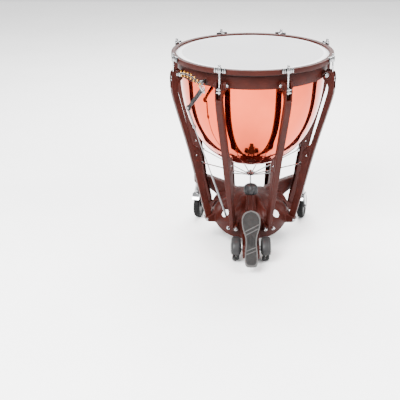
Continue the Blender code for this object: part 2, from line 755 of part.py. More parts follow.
# ---------------------------------------------------------------- pedal and its linkage
def on_pedal(along, height=0.0):
    """(y, z) of a point on the foot plate, measured from its heel along its top."""
    y = PEDAL_HEEL[0] + along * math.cos(PEDAL_ANGLE) - height * math.sin(PEDAL_ANGLE)
    z = PEDAL_HEEL[1] + along * math.sin(PEDAL_ANGLE) + height * math.cos(PEDAL_ANGLE)
    return (y, z)


def sole_outline(inset):
    """Shoe-sole outline of the foot plate, narrowed by the inset."""
    shorter = 1 - 2 * inset / PEDAL_LENGTH
    right = [(w - inset, inset + s * shorter) for s, w in PEDAL_HALF_WIDTHS]
    left = [(-x, s) for x, s in reversed(right)]
    return [(0, inset), *right, (0, PEDAL_LENGTH - inset), *left]


def make_pedal_plate():
    body = plate(sole_outline(0), PEDAL_T, smooth=True, resolution=3)
    recess = plate(sole_outline(PEDAL_RIM), 2 * PEDAL_RECESS, smooth=True, resolution=2)
    body = moved(body, Matrix.Translation((0, 0, -PEDAL_T / 2)))
    mesh = baked(body, [("DIFFERENCE", recess)])
    heel = Matrix.Translation((0, *PEDAL_HEEL))
    tilt = Matrix.Rotation(PEDAL_ANGLE, 4, "X")
    pivot = Vector((0, *PEDAL_PIVOT))
    mesh = moved(mesh, Matrix.Translation(-pivot) @ heel @ tilt)
    add_part("pedal_plate", mesh, DARK, pivot)


def make_pedal_lever():
    """Casting under the foot plate with the pedal's axle and the short pull arm."""
    y, z = PEDAL_PIVOT
    under = -PEDAL_T - GAP
    outline = [on_pedal(0.084, under), (y - 0.013, z - 0.002), (y - 0.007, z - LINK_ARM)]
    outline += arc_points((y, z - LINK_ARM), 0.007, 200, 340, 4)
    outline += [(y + 0.013, z - 0.004), (y + 0.040, z + 0.035), on_pedal(0.195, under)]
    body = side_plate(outline, 0.013)
    axle_half = FRONT_ARM_HALF_W - 0.0005
    axle = rod((-axle_half, y, z), (axle_half, y, z), AXLE_R)
    hub = rod((-0.020, y, z), (0.020, y, z), 0.0115, sides=16)
    pin_low = (0.0, y, z - LINK_ARM)
    pin_high = (DRAW_BAR_X[1] + 0.0015, y, z - LINK_ARM)
    pin = rod(pin_low, pin_high, PIN_R, sides=12)
    mesh = baked(body, [("UNION", hub)])
    mesh = baked(mesh, [("UNION", axle)])
    mesh = baked(mesh, [("UNION", pin)])
    pivot = Vector((0, y, z))
    add_part("pedal_lever", moved(mesh, Matrix.Translation(-pivot)), BROWN, pivot)


def make_draw_bar():
    """Flat bar from the pedal's short arm back to the bell crank."""
    z = PEDAL_PIVOT[1] - LINK_ARM
    front = (PEDAL_PIVOT[0], z)
    back = (CRANK_PIVOT_Y, z)
    thickness = DRAW_BAR_X[1] - DRAW_BAR_X[0]
    middle_x = (DRAW_BAR_X[0] + DRAW_BAR_X[1]) / 2
    bar = side_plate(capsule(front, back, 0.0085), thickness, middle_x)
    steps = []
    for (y, _), clearance in ((front, 0.0004), (back, 0.0012)):
        hole = rod((-0.03, y, z), (0.03, y, z), PIN_R + clearance, sides=12)
        steps.append(("DIFFERENCE", hole))
    mesh = baked(bar, steps)
    pin = Vector((0, *front))
    add_part("draw_bar", moved(mesh, Matrix.Translation(-pin)), STEEL, pin)


def make_bell_crank():
    """Crank under the dome that turns the bar's pull into the pull rod's stroke."""
    z = PEDAL_PIVOT[1]
    y = CRANK_PIVOT_Y
    down = side_plate(capsule((y, z), (y, z - LINK_ARM), 0.0095), 0.010)
    flat = side_plate(capsule((y, z), (0, z), 0.0070), 0.0085)
    axle = rod((-0.022, y, z), (0.022, y, z), PIN_R, sides=12)
    boss = rod((-0.0145, y, z), (0.0145, y, z), 0.0105)
    pin_end = (DRAW_BAR_X[1] + 0.0015, y, z - LINK_ARM)
    pin = rod((0.0, y, z - LINK_ARM), pin_end, PIN_R, sides=12)
    mesh = down
    for other in (flat, boss, axle, pin):
        mesh = baked(mesh, [("UNION", other)])
    pivot = Vector((0, y, z))
    add_part("bell_crank", moved(mesh, Matrix.Translation(-pivot)), STEEL, pivot)


# ---------------------------------------------------------------- front wheels
def make_omniwheels():
    """Wheel with two rows of rollers, drawn as its turned envelope."""
    half = OMNI_HALF_W
    row = ((0.0010, 0.0440), (0.0090, OMNI_R), (0.0170, 0.0440))
    profile = [(OMNI_BORE_R, half)]
    profile += [(radius, half - down) for down, radius in row]
    profile.append((0.036, 0))
    profile += [(radius, down - half) for down, radius in reversed(row)]
    profile.append((OMNI_BORE_R, -half))
    lay = Matrix.Rotation(math.radians(90), 4, "Y")
    for name, side in (("left", -1), ("right", 1)):
        mesh = moved(turned(profile, sides=24, closed=True), lay)
        add_part(f"omniwheel_{name}", mesh, DARK, (side * OMNI_X, OMNI_Y, OMNI_R))


def make_hoods():
    """Rounded fender over each front wheel, open below."""
    half = HOOD_HALF_W
    outline = arc_points((0, 0), HOOD_R, 20, 181, 11)
    outline += [(-0.030, -0.015), (0.030, -0.015), (0.055, 0.004)]
    inner_r = HOOD_R - HOOD_WALL
    hollow = arc_points((0, 0), inner_r, 20, 180, 10) + [(-inner_r, -0.04), (inner_r + 0.01, -0.04)]
    hollow += [(inner_r + 0.01, 0.018)]
    mesh = side_plate(outline, 2 * half)
    hood = helper(mesh)
    bevel = hood.modifiers.new("soft_edges", "BEVEL")
    bevel.width = 0.008
    bevel.segments = 2
    bevel.limit_method = "ANGLE"
    bevel.angle_limit = math.radians(60)
    bpy.context.view_layer.update()
    graph = bpy.context.evaluated_depsgraph_get()
    soft = bpy.data.meshes.new_from_object(hood.evaluated_get(graph))
    bpy.data.objects.remove(hood, do_unlink=True)
    steps = [("DIFFERENCE", side_plate(hollow, 2 * (half - HOOD_WALL)))]
    steps.append(("DIFFERENCE", rod((-0.04, 0, 0), (0.0, 0, 0), 0.008)))
    mesh = baked(soft, steps)
    for name, side in (("left", -1), ("right", 1)):
        copy = mesh.copy() if side > 0 else mirrored(mesh)
        add_part(f"wheel_hood_{name}", copy, GREY, (side * OMNI_X, OMNI_Y, OMNI_R))


# ---------------------------------------------------------------- rear casters
def make_casters():
    """Swivel head and fork, braked wheel and brake pedal under each rear arm."""
    for name, side in (("left", -1), ("right", 1)):
        swivel = bpy.data.objects.new(f"caster_swivel_{name}", None)
        swivel.location = at(side * ARM_AZIMUTH, CASTER_R, 0)
        swivel.rotation_euler.z = CASTER_TURN
        swivel.parent = DRUM_AXIS
        PARTS.objects.link(swivel)
        add_part(f"caster_fork_{name}", fork_mesh(), CHROME, parent=swivel)
        hub = (0, CASTER_TRAIL, CASTER_WHEEL_R)
        add_part(f"caster_wheel_{name}", caster_wheel_mesh(), DARK, hub, parent=swivel)
        add_part(f"caster_brake_{name}", brake_mesh(), CHROME, (0, *BRAKE_PIVOT), parent=swivel)


def fork_mesh():
    """Stem, tapered head, crown and the two legs that hold the wheel's axle."""
    low = CASTER_CROWN_Z
    outer = FORK_GAP_HALF + FORK_T
    back = CASTER_TRAIL
    profile = [(0, CASTER_STEM_TOP_Z), (CASTER_STEM_R, CASTER_STEM_TOP_Z)]
    profile += [(CASTER_STEM_R, CASTER_HEAD[0][1]), *CASTER_HEAD, (0, CASTER_HEAD[-1][1])]
    leg = [(-0.023, low + 0.006), (-0.022, low - 0.008), (back - 0.012, CASTER_WHEEL_R - 0.008)]
    leg += arc_points((back, CASTER_WHEEL_R), 0.0125, 230, 360, 4)
    leg += [(back + 0.012, low - 0.006), (back - 0.002, low + 0.006)]
    steps = [("UNION", box((-outer, -0.023, low), (outer, back - 0.002, low + 0.004)))]
    for hand in (-1, 1):
        steps.append(("UNION", side_plate(leg, FORK_T, hand * (outer - FORK_T / 2))))
    axle_half = outer + 0.003
    axle_start = (-axle_half, back, CASTER_WHEEL_R)
    axle_end = (axle_half, back, CASTER_WHEEL_R)
    steps.append(("UNION", rod(axle_start, axle_end, 0.005, sides=10)))
    mesh = turned(profile, sides=14)
    for operation, other in steps:
        mesh = baked(mesh, [(operation, other)])
    return mesh


def caster_wheel_mesh():
    half = CASTER_TYRE_HALF_W
    radius = CASTER_WHEEL_R
    profile = [(0.0054, half), (0.044, half - 0.003), (radius - 0.006, half)]
    profile += [(radius - 0.001, half - 0.005), (radius, 0)]
    profile += [(r, -w) for r, w in reversed(profile[:-1])]
    lay = Matrix.Rotation(math.radians(90), 4, "Y")
    return moved(turned(profile, sides=28, closed=True), lay)


def brake_mesh():
    """Brake pedal in front of the tyre, hinged under the fork's crown."""
    outline = [(-0.004, 0.004), (0.002, 0.004), (0.002, -0.004), (-0.006, -0.016)]
    outline += [(-0.014, -0.026), (-0.018, -0.024), (-0.011, -0.012)]
    return side_plate(outline, BRAKE_W)


# ---------------------------------------------------------------- tuning gauge
def gauge_empty():
    """Empty on the pointer's pivot: X to the right along the hoop, Y up, Z outwards."""
    spot = at(GAUGE_AZIMUTH, *GAUGE_PIVOT)
    turn = Matrix.Rotation(math.radians(GAUGE_AZIMUTH), 4, "Z")
    stand = Matrix(((1, 0, 0, 0), (0, 0, -1, 0), (0, 1, 0, 0), (0, 0, 0, 1)))
    made = bpy.data.objects.new("gauge_pivot", None)
    made.parent = DRUM_AXIS
    made.matrix_local = Matrix.Translation(spot) @ turn @ stand
    PARTS.objects.link(made)
    return made


def polar(radius, degrees):
    return (radius * math.cos(math.radians(degrees)), radius * math.sin(math.radians(degrees)))


def make_gauge():
    frame = gauge_empty()
    make_gauge_scale(frame)
    make_gauge_pointer(frame)
    make_gauge_link()


def make_gauge_scale(frame):
    """Curved rail for the note markers, the arm that holds the pivot, and its bracket."""
    start, end = GAUGE_ARC_DEG
    rail = arc_points((0, 0), GAUGE_ARC_R[1], start, end, 12)
    rail += arc_points((0, 0), GAUGE_ARC_R[0], end, start, 12)
    mesh = plate(rail, GAUGE_T)
    tip = polar(sum(GAUGE_ARC_R) / 2, start + 4)
    arm = moved(plate(capsule((0, 0), tip, 0.0045, 4), GAUGE_T), Matrix.Translation((0, 0, -0.0020)))
    boss = rod((0, 0, -0.0035), (0, 0, 0.0022), 0.010)
    x, y = polar(sum(GAUGE_ARC_R) / 2, 61)
    reach = -(GAUGE_PIVOT[0] - 0.332)
    bracket = box((x - 0.005, y - 0.009, reach), (x + 0.005, y + 0.009, 0.0005))
    ring = rod((0, 0, 0), (0, 0, 0.1), RING_R[1] + GAP, sides=ROUND)
    for other in (arm, boss, bracket):
        mesh = baked(mesh, [("UNION", other)])
    to_drum = frame.matrix_local
    ring = moved(ring, to_drum.inverted() @ Matrix.Translation((0, 0, 0.78)))
    mesh = baked(mesh, [("DIFFERENCE", ring)])
    add_part("gauge_scale", mesh, CHROME, parent=frame)


def make_gauge_pointer(frame):
    """Arm with a window frame that sweeps over the rail."""
    middle = sum(GAUGE_ARC_R) / 2
    lift = Matrix.Translation((0, 0, 0.0042))
    arm = moved(box((0, -0.008, -0.001), (middle - 0.010, 0.008, 0.001)), lift)
    disc = rod((0, 0, 0.0030), (0, 0, 0.0064), 0.0130, sides=18)
    window = moved(box((middle - 0.013, -0.013, -0.001), (middle + 0.013, 0.013, 0.001)), lift)
    hole = box((middle - 0.0085, -0.0085, -0.01), (middle + 0.0085, 0.0085, 0.02))
    mesh = arm
    for operation, other in (("UNION", disc), ("UNION", window), ("DIFFERENCE", hole)):
        mesh = baked(mesh, [(operation, other)])
    mesh = moved(mesh, Matrix.Rotation(math.radians(POINTER_REST_DEG), 4, "Z"))
    add_part("gauge_pointer", mesh, GREY, parent=frame)


def make_gauge_link():
    """Push rod from the pedal's linkage up to the pointer."""
    turn = Matrix.Rotation(math.radians(GAUGE_AZIMUTH), 4, "Z")
    spot = at(GAUGE_AZIMUTH, *GAUGE_PIVOT)
    top = spot + turn @ Vector((LINK_TOP[0], -0.0125, LINK_TOP[1]))
    foot = Vector(LINK_FOOT)
    along = top - foot
    length = along.length
    profile = [
        (0, length), (0.0048, length), (0.0048, length - 0.078), (0.0085, length - 0.080),
        (0.0085, length - 0.092), (0.0028, length - 0.094), (0.0028, 0.250), (0.0046, 0.248),
        (0.0046, 0.050), (0.0065, 0.048), (0.0065, 0.030), (0.0050, 0.028), (0.0050, 0.0), (0, 0),
    ]
    part = add_part("gauge_link", turned(profile, sides=10), CHROME)
    lean = along.to_track_quat("Z", "Y").to_matrix().to_4x4()
    part.matrix_local = Matrix.Translation(foot) @ lean


# ---------------------------------------------------------------- the whole drum
make_kettle()
make_support_ring()
make_drumhead()
make_flesh_hoop()
make_counterhoop()
make_tension_rods()
make_struts()
make_rockers()
make_spokes()
make_spider()
make_pull_rod()
make_base()
make_spring_column()
make_knob()
make_pedal_plate()
make_pedal_lever()
make_draw_bar()
make_bell_crank()
make_omniwheels()
make_hoods()
make_casters()
make_gauge()
bpy.context.view_layer.update()
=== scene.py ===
"""Looks of the pedal timpani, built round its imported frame."""
import math

import bmesh
import bpy
import numpy as np
from mathutils import Matrix, Vector


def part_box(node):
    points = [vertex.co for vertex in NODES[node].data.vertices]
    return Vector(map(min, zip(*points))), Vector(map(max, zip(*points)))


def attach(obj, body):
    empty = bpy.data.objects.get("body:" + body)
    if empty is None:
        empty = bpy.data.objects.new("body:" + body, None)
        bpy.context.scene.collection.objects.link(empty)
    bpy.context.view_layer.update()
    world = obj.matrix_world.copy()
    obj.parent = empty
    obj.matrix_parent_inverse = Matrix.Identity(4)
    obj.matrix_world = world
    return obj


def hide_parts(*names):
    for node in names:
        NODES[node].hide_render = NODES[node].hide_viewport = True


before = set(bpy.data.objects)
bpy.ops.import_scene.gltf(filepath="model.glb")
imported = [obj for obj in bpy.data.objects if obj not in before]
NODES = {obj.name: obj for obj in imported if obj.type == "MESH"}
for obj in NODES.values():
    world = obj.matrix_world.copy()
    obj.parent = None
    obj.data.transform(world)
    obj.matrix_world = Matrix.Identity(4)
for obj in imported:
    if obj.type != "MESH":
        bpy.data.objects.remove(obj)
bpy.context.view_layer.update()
RING_LOW, RING_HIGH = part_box("support_ring")
AXIS_Y = (RING_LOW.y + RING_HIGH.y) / 2
HOME = Matrix.Translation((0, AXIS_Y, 0))

# Places round the drum's axis, in metres and degrees. Azimuth 0 faces the player.
STATIONS = (-157.5, -112.5, -67.5, -22.5, 22.5, 67.5, 112.5, 157.5)
ROD_R = 0.377
KETTLE_R = 0.330
KETTLE_TOP = 0.885
KETTLE_DEPTH = 0.508
LIP_Z = 0.868
EAR_R, EAR_Z = 0.3560, 0.8290
REAR_ARM_AZIMUTH = 125.75
CASTER_R = 0.3167
CASTER_TRAIL, CASTER_AXLE_Z = 0.028, 0.0635
CASTER_SWIVEL = -14
WHEEL_X, WHEEL_Y, WHEEL_Z = 0.068, -0.296, 0.050
PEDAL_AXLE_Y, PEDAL_AXLE_Z = -0.352, 0.088
PEDAL_HEEL = (0, -0.463, 0.045)
PEDAL_SLOPE = 36
PEDAL_LENGTH = 0.29
COLUMN_TOP = 0.0736
GAUGE_AZIMUTH, GAUGE_R, GAUGE_Z = -48, 0.372, 0.705
RAIL_R = 0.147
RAIL_START, RAIL_END = 42, 124
RAIL_TIP = -6
GAUGE_ARM = 46
POINTER_REST = 50
SIDES = (("left", -1), ("right", 1))


# ---------------------------------------------------------------- materials
NOISE_SPAN = (0.3, 0.7)
NOISE_ROUGHNESS = 0.55
SPECULAR = 0.12


def new_material(name, metallic=0.0, coat=0.0):
    """A Principled material, its node tree and shader, and the object's own coordinates."""
    material = bpy.data.materials.new(name)
    material.use_nodes = True
    tree = material.node_tree
    shader = tree.nodes["Principled BSDF"]
    shader.inputs["Metallic"].default_value = metallic
    shader.inputs["Coat Weight"].default_value = coat
    shader.inputs["Specular IOR Level"].default_value = SPECULAR
    place = tree.nodes.new("ShaderNodeTexCoord")
    return material, tree, shader, place.outputs["Object"]


def noise(tree, coords, scale, detail=4.0):
    """A cloudy value, mostly within NOISE_SPAN."""
    node = tree.nodes.new("ShaderNodeTexNoise")
    node.inputs["Scale"].default_value = scale
    node.inputs["Detail"].default_value = detail
    node.inputs["Roughness"].default_value = NOISE_ROUGHNESS
    tree.links.new(coords, node.inputs["Vector"])
    return node.outputs["Fac"]


def ramp(tree, value, dark, light):
    """Runs from the dark tone to the light one over the middle of a noise's range."""
    node = tree.nodes.new("ShaderNodeValToRGB")
    for element, position, tone in zip(node.color_ramp.elements, NOISE_SPAN, (dark, light)):
        element.position = position
        element.color = (*tone, 1)
    tree.links.new(value, node.inputs["Fac"])
    return node.outputs["Color"]


def spread(tree, value, low, high):
    """A number between low and high that follows a noise."""
    node = tree.nodes.new("ShaderNodeMapRange")
    node.inputs["From Min"].default_value = NOISE_SPAN[0]
    node.inputs["From Max"].default_value = NOISE_SPAN[1]
    node.inputs["To Min"].default_value = low
    node.inputs["To Max"].default_value = high
    tree.links.new(value, node.inputs["Value"])
    return node.outputs["Result"]


def bump(tree, shader, height, strength, distance):
    """Fine relief in the shading that follows a noise."""
    node = tree.nodes.new("ShaderNodeBump")
    node.inputs["Strength"].default_value = strength
    node.inputs["Distance"].default_value = distance
    tree.links.new(height, node.inputs["Height"])
    tree.links.new(node.outputs["Normal"], shader.inputs["Normal"])


def worn(name, dark, light, scale, rough, metallic=0.0, coat=0.0, grain=None):
    """Colour between two tones, roughness that varies, and a fine grain if one is given.

    grain is (noise scale, strength, distance).
    """
    material, tree, shader, coords = new_material(name, metallic, coat)
    tone = ramp(tree, noise(tree, coords, scale), dark, light)
    tree.links.new(tone, shader.inputs["Base Color"])
    sheen = spread(tree, noise(tree, coords, scale * 2.3), *rough)
    tree.links.new(sheen, shader.inputs["Roughness"])
    if grain:
        bump(tree, shader, noise(tree, coords, grain[0], 2.0), grain[1], grain[2])
    return material


COPPER = worn("copper", (0.58, 0.070, 0.026), (0.67, 0.096, 0.038), 5, (0.04, 0.075), 1.0)
COPPER_IN = worn("copper_inside", (0.36, 0.13, 0.07), (0.48, 0.19, 0.10), 9, (0.32, 0.45), 1.0)
BROWN = worn("brown_coat", (0.0195, 0.0022, 0.0009), (0.029, 0.0035, 0.0015), 22, (0.42, 0.52),
             grain=(1500, 0.30, 0.0004))
CHROME = worn("chrome", (0.24, 0.24, 0.247), (0.38, 0.38, 0.387), 30, (0.06, 0.13), 1.0)
STEEL = worn("steel", (0.15, 0.15, 0.155), (0.25, 0.25, 0.255), 60, (0.24, 0.38), 1.0,
             grain=(900, 0.1, 0.0002))
ALUMINIUM = worn("aluminium", (0.62, 0.63, 0.64), (0.74, 0.74, 0.75), 40, (0.30, 0.42), 1.0)
HOOD_GREY = worn("hood_grey", (0.014, 0.0137, 0.014), (0.024, 0.0235, 0.024), 14, (0.34, 0.44),
                 coat=0.04, grain=(1100, 0.25, 0.0003))
KNOB_GREY = worn("knob_grey", (0.014, 0.0138, 0.0143), (0.024, 0.0237, 0.0244), 18, (0.26, 0.34),
                 coat=0.06, grain=(1100, 0.2, 0.0003))
PEDAL_GREY = worn("pedal_rubber", (0.011, 0.0105, 0.0102), (0.019, 0.0183, 0.0178), 45,
                  (0.52, 0.68), grain=(1700, 0.55, 0.0006))
PEDAL_RIM = worn("pedal_edge", (0.046, 0.0445, 0.0435), (0.066, 0.064, 0.0625), 45,
                 (0.42, 0.55), grain=(1700, 0.4, 0.0005))
TYRE = worn("tyre", (0.0015, 0.0015, 0.0016), (0.004, 0.004, 0.0042), 70, (0.55, 0.72),
            grain=(700, 0.4, 0.0005))
BLACK = worn("black_plastic", (0.002, 0.002, 0.0022), (0.005, 0.005, 0.0053), 50, (0.35, 0.5),
             coat=0.1, grain=(900, 0.2, 0.0003))
CREAM = worn("cream_plastic", (0.55, 0.52, 0.46), (0.68, 0.65, 0.58), 60, (0.4, 0.55))
BRASS = worn("brass", (0.60, 0.26, 0.03), (0.75, 0.36, 0.05), 80, (0.16, 0.28), 1.0)
PLATE_DARK = worn("dark_plate", (0.012, 0.012, 0.013), (0.026, 0.026, 0.027), 60, (0.28, 0.4),
                  0.4)


def head_material(name, dark, light):
    """White film, a little cloudy, with a fine coated texture."""
    material, tree, shader, coords = new_material(name, coat=0.15)
    tone = ramp(tree, noise(tree, coords, 3.0, 3.0), dark, light)
    tree.links.new(tone, shader.inputs["Base Color"])
    sheen = spread(tree, noise(tree, coords, 8.0), 0.38, 0.5)
    tree.links.new(sheen, shader.inputs["Roughness"])
    bump(tree, shader, noise(tree, coords, 900.0, 2.0), 0.06, 0.0003)
    return material


FILM = head_material("film", (0.33, 0.33, 0.34), (0.37, 0.37, 0.377))
COLLAR = head_material("film_edge", (0.47, 0.47, 0.48), (0.52, 0.52, 0.53))
ARM_GREY = worn("pointer_grey", (0.010, 0.010, 0.0104), (0.018, 0.018, 0.0184), 60, (0.28, 0.4),
                0.3)


# ---------------------------------------------------------------- mesh helpers
def finish_mesh(bm, angle=38):
    """The mesh, with smooth faces up to an angle in degrees between neighbours."""
    mesh = bpy.data.meshes.new("shape")
    bmesh.ops.recalc_face_normals(bm, faces=bm.faces)
    bm.to_mesh(mesh)
    bm.free()
    mesh.shade_smooth()
    mesh.set_sharp_from_angle(angle=math.radians(angle))
    return mesh


def lathe(profile, sides=96, closed=False, wave=None, angle=38):
    """A solid turned about Z from (radius, height) points; wave may move each vertex."""
    bm = bmesh.new()
    rings = []
    for radius, height in profile:
        if radius < 1e-6:
            rings.append([bm.verts.new((0, 0, height))])
            continue
        ring = []
        for i in range(sides):
            turn = math.tau * i / sides
            point = Vector((radius * math.cos(turn), radius * math.sin(turn), height))
            ring.append(bm.verts.new(wave(point) if wave else point))
        rings.append(ring)
    pairs = list(zip(rings, rings[1:]))
    if closed:
        pairs.append((rings[-1], rings[0]))
    for first, second in pairs:
        for i in range(sides):
            j = (i + 1) % sides
            corners = [first[i % len(first)], first[j % len(first)]]
            corners += [second[j % len(second)], second[i % len(second)]]
            unique = list(dict.fromkeys(corners))
            if len(unique) > 2:
                bm.faces.new(unique)
    return finish_mesh(bm, angle)


def smooth_line(points, steps=6):
    """Points of a Catmull-Rom curve through the given points."""
    points = [Vector(p) for p in points]
    line = []
    for i in range(len(points) - 1):
        p0 = points[max(i - 1, 0)]
        p1 = points[i]
        p2 = points[i + 1]
        p3 = points[min(i + 2, len(points) - 1)]
        for k in range(steps):
            t = k / steps
            spot = 2 * p1 + (p2 - p0) * t + (2 * p0 - 5 * p1 + 4 * p2 - p3) * t**2
            spot = spot + (3 * p1 - p0 - 3 * p2 + p3) * t**3
            line.append(tuple(spot / 2))
    line.append(tuple(points[-1]))
    return line


def slab(outline, low, high):
    """A flat solid drawn in XY, from one height to another."""
    bm = bmesh.new()
    bottom = [bm.verts.new((x, y, low)) for x, y in outline]
    top = [bm.verts.new((x, y, high)) for x, y in outline]
    bm.faces.new(bottom[::-1])
    bm.faces.new(top)
    for i in range(len(outline)):
        j = (i + 1) % len(outline)
        bm.faces.new((bottom[i], bottom[j], top[j], top[i]))
    return finish_mesh(bm)


def block(low, high):
    """A box between two corners."""
    outline = [(low[0], low[1]), (high[0], low[1]), (high[0], high[1]), (low[0], high[1])]
    return slab(outline, low[2], high[2])


def turned_to(mesh, matrix):
    """The mesh moved by a matrix, with its faces still outwards if it is mirrored."""
    mesh.transform(matrix)
    if matrix.determinant() < 0:
        mesh.flip_normals()
    return mesh


def facing(direction):
    """A turn that points Z along a direction."""
    return Vector(direction).to_track_quat("Z", "Y").to_matrix().to_4x4()


def tube(start, end, radius, end_radius=None, sides=24):
    """A round or tapered bar from one point to another."""
    start = Vector(start)
    along = Vector(end) - start
    far = radius if end_radius is None else end_radius
    mesh = lathe([(0, 0), (radius, 0), (far, along.length), (0, along.length)], sides)
    return turned_to(mesh, Matrix.Translation(start) @ facing(along))


def joined(meshes):
    """Several meshes as one, each left whole."""
    bm = bmesh.new()
    for mesh in meshes:
        bm.from_mesh(mesh)
    mesh = bpy.data.meshes.new("joined")
    bm.to_mesh(mesh)
    bm.free()
    return mesh


def applied(mesh, *modifiers):
    """The mesh after a list of (type, settings) modifiers."""
    body = bpy.data.objects.new("work", mesh)
    bpy.context.scene.collection.objects.link(body)
    extra = []
    for kind, settings in modifiers:
        modifier = body.modifiers.new(kind, kind)
        for key, value in settings.items():
            if key == "object":
                value = bpy.data.objects.new("tool", value)
                bpy.context.scene.collection.objects.link(value)
                extra.append(value)
            setattr(modifier, key, value)
    bpy.context.view_layer.update()
    graph = bpy.context.evaluated_depsgraph_get()
    result = bpy.data.meshes.new_from_object(body.evaluated_get(graph))
    for item in (body, *extra):
        bpy.data.objects.remove(item, do_unlink=True)
    return result


def bevelled(mesh, width, segments=2, angle=35):
    """The mesh with rounded edges wherever its faces meet at more than an angle."""
    settings = {"width": width, "segments": segments, "limit_method": "ANGLE"}
    settings["angle_limit"] = math.radians(angle)
    result = applied(mesh, ("BEVEL", settings))
    result.shade_smooth()
    result.set_sharp_from_angle(angle=math.radians(50))
    return result


def cut(mesh, *tools):
    """The mesh with the tools' volumes taken out of it."""
    settings = {"operation": "DIFFERENCE", "solver": "EXACT"}
    return applied(mesh, *[("BOOLEAN", {**settings, "object": tool}) for tool in tools])


def cast(mesh, voxel, rounds):
    """Fuses overlapping solids into one skin and rounds its edges, as a casting's are."""
    remesh = ("REMESH", {"mode": "VOXEL", "voxel_size": voxel, "use_smooth_shade": True})
    smooth = ("SMOOTH", {"factor": 0.5, "iterations": rounds})
    result = applied(mesh, remesh, smooth)
    result.shade_smooth()
    return result


def piece(name, mesh, material, body, replaces=(), matrix=None):
    """Puts a shape, drawn round the drum's axis, in place and lets it ride on a body."""
    made = bpy.data.objects.new(name, mesh)
    mesh.materials.clear()
    mesh.materials.append(material)
    mesh.transform(HOME @ matrix if matrix else HOME)
    bpy.context.scene.collection.objects.link(made)
    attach(made, body)
    if replaces:
        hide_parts(*replaces)
    return made


def recolour(name, material):
    """Gives a CAD node that stays visible its material."""
    slots = NODES[name].data.materials
    slots.clear()
    slots.append(material)


def around(azimuth):
    """A turn about the drum's axis, from azimuth 0."""
    return Matrix.Rotation(math.radians(azimuth), 4, "Z")


def at(azimuth, radius, height):
    """The point at an azimuth, a distance from the axis and a height."""
    angle = math.radians(azimuth)
    return Vector((radius * math.sin(angle), -radius * math.cos(angle), height))


# Turns that stand a flat drawing up: (radius, height), (y, height) and (x, height).
UPRIGHT = Matrix(((0, 0, -1, 0), (-1, 0, 0, 0), (0, 1, 0, 0), (0, 0, 0, 1)))
SIDEWAYS = Matrix(((0, 0, 1, 0), (1, 0, 0, 0), (0, 1, 0, 0), (0, 0, 0, 1)))
FACING_OUT = Matrix(((1, 0, 0, 0), (0, 0, -1, 0), (0, 1, 0, 0), (0, 0, 0, 1)))


def standing(outline, half):
    """A plate drawn as (radius, height), standing on azimuth 0."""
    return turned_to(slab(outline, -half, half), UPRIGHT)


def circle(centre, radius, start=0, end=360, count=24):
    """Points of a circle, or of an arc between two angles in degrees."""
    points = []
    for i in range(count + (end - start < 360)):
        turn = math.radians(start + (end - start) * i / count)
        x, y = radius * math.cos(turn), radius * math.sin(turn)
        points.append((centre[0] + x, centre[1] + y))
    return points


# ---------------------------------------------------------------- kettle, ring, head, hoop
def kettle_radius(height):
    """The bowl's outside: nearly straight at the top, round below."""
    t = max(0.0, (KETTLE_TOP - height) / KETTLE_DEPTH)
    return KETTLE_R * (1 - t**2.35) ** 0.415


def make_kettle():
    """The bowl's outside and inside, and the ring in its vent hole."""
    heights = [LIP_Z - 0.470 * (i / 40) ** 0.85 for i in range(41)]
    heights += [0.392, 0.3875, 0.3835, 0.3805, 0.3785]
    outer = [(0.3285, 0.8952), (0.3296, 0.8945), (0.330, 0.893), (0.330, 0.8720)]
    outer += [(0.3325, 0.8714), (0.3332, 0.8708), (0.3332, 0.8690), (0.3325, 0.8684)]
    outer.append((0.330, LIP_Z))
    outer += [(kettle_radius(z), z) for z in heights[1:]] + [(0.014, 0.3772), (0.012, 0.3770)]
    piece("kettle_shell", lathe(outer, 160), COPPER, "frame", ["kettle_bowl"])
    inner = [(r - 0.0016, z + 0.0008) for r, z in outer if r > 0.02 and z < LIP_Z]
    inner = [(0.012, 0.3786)] + inner[::-1] + [(0.3265, 0.894), (0.3285, 0.8951)]
    piece("kettle_inside", lathe(inner, 128), COPPER_IN, "frame")
    vent = [(0.0121, 0.3765), (0.0150, 0.3767), (0.0150, 0.3775), (0.0121, 0.3800)]
    piece("vent_grommet", lathe(vent, 32, True), COPPER, "frame")


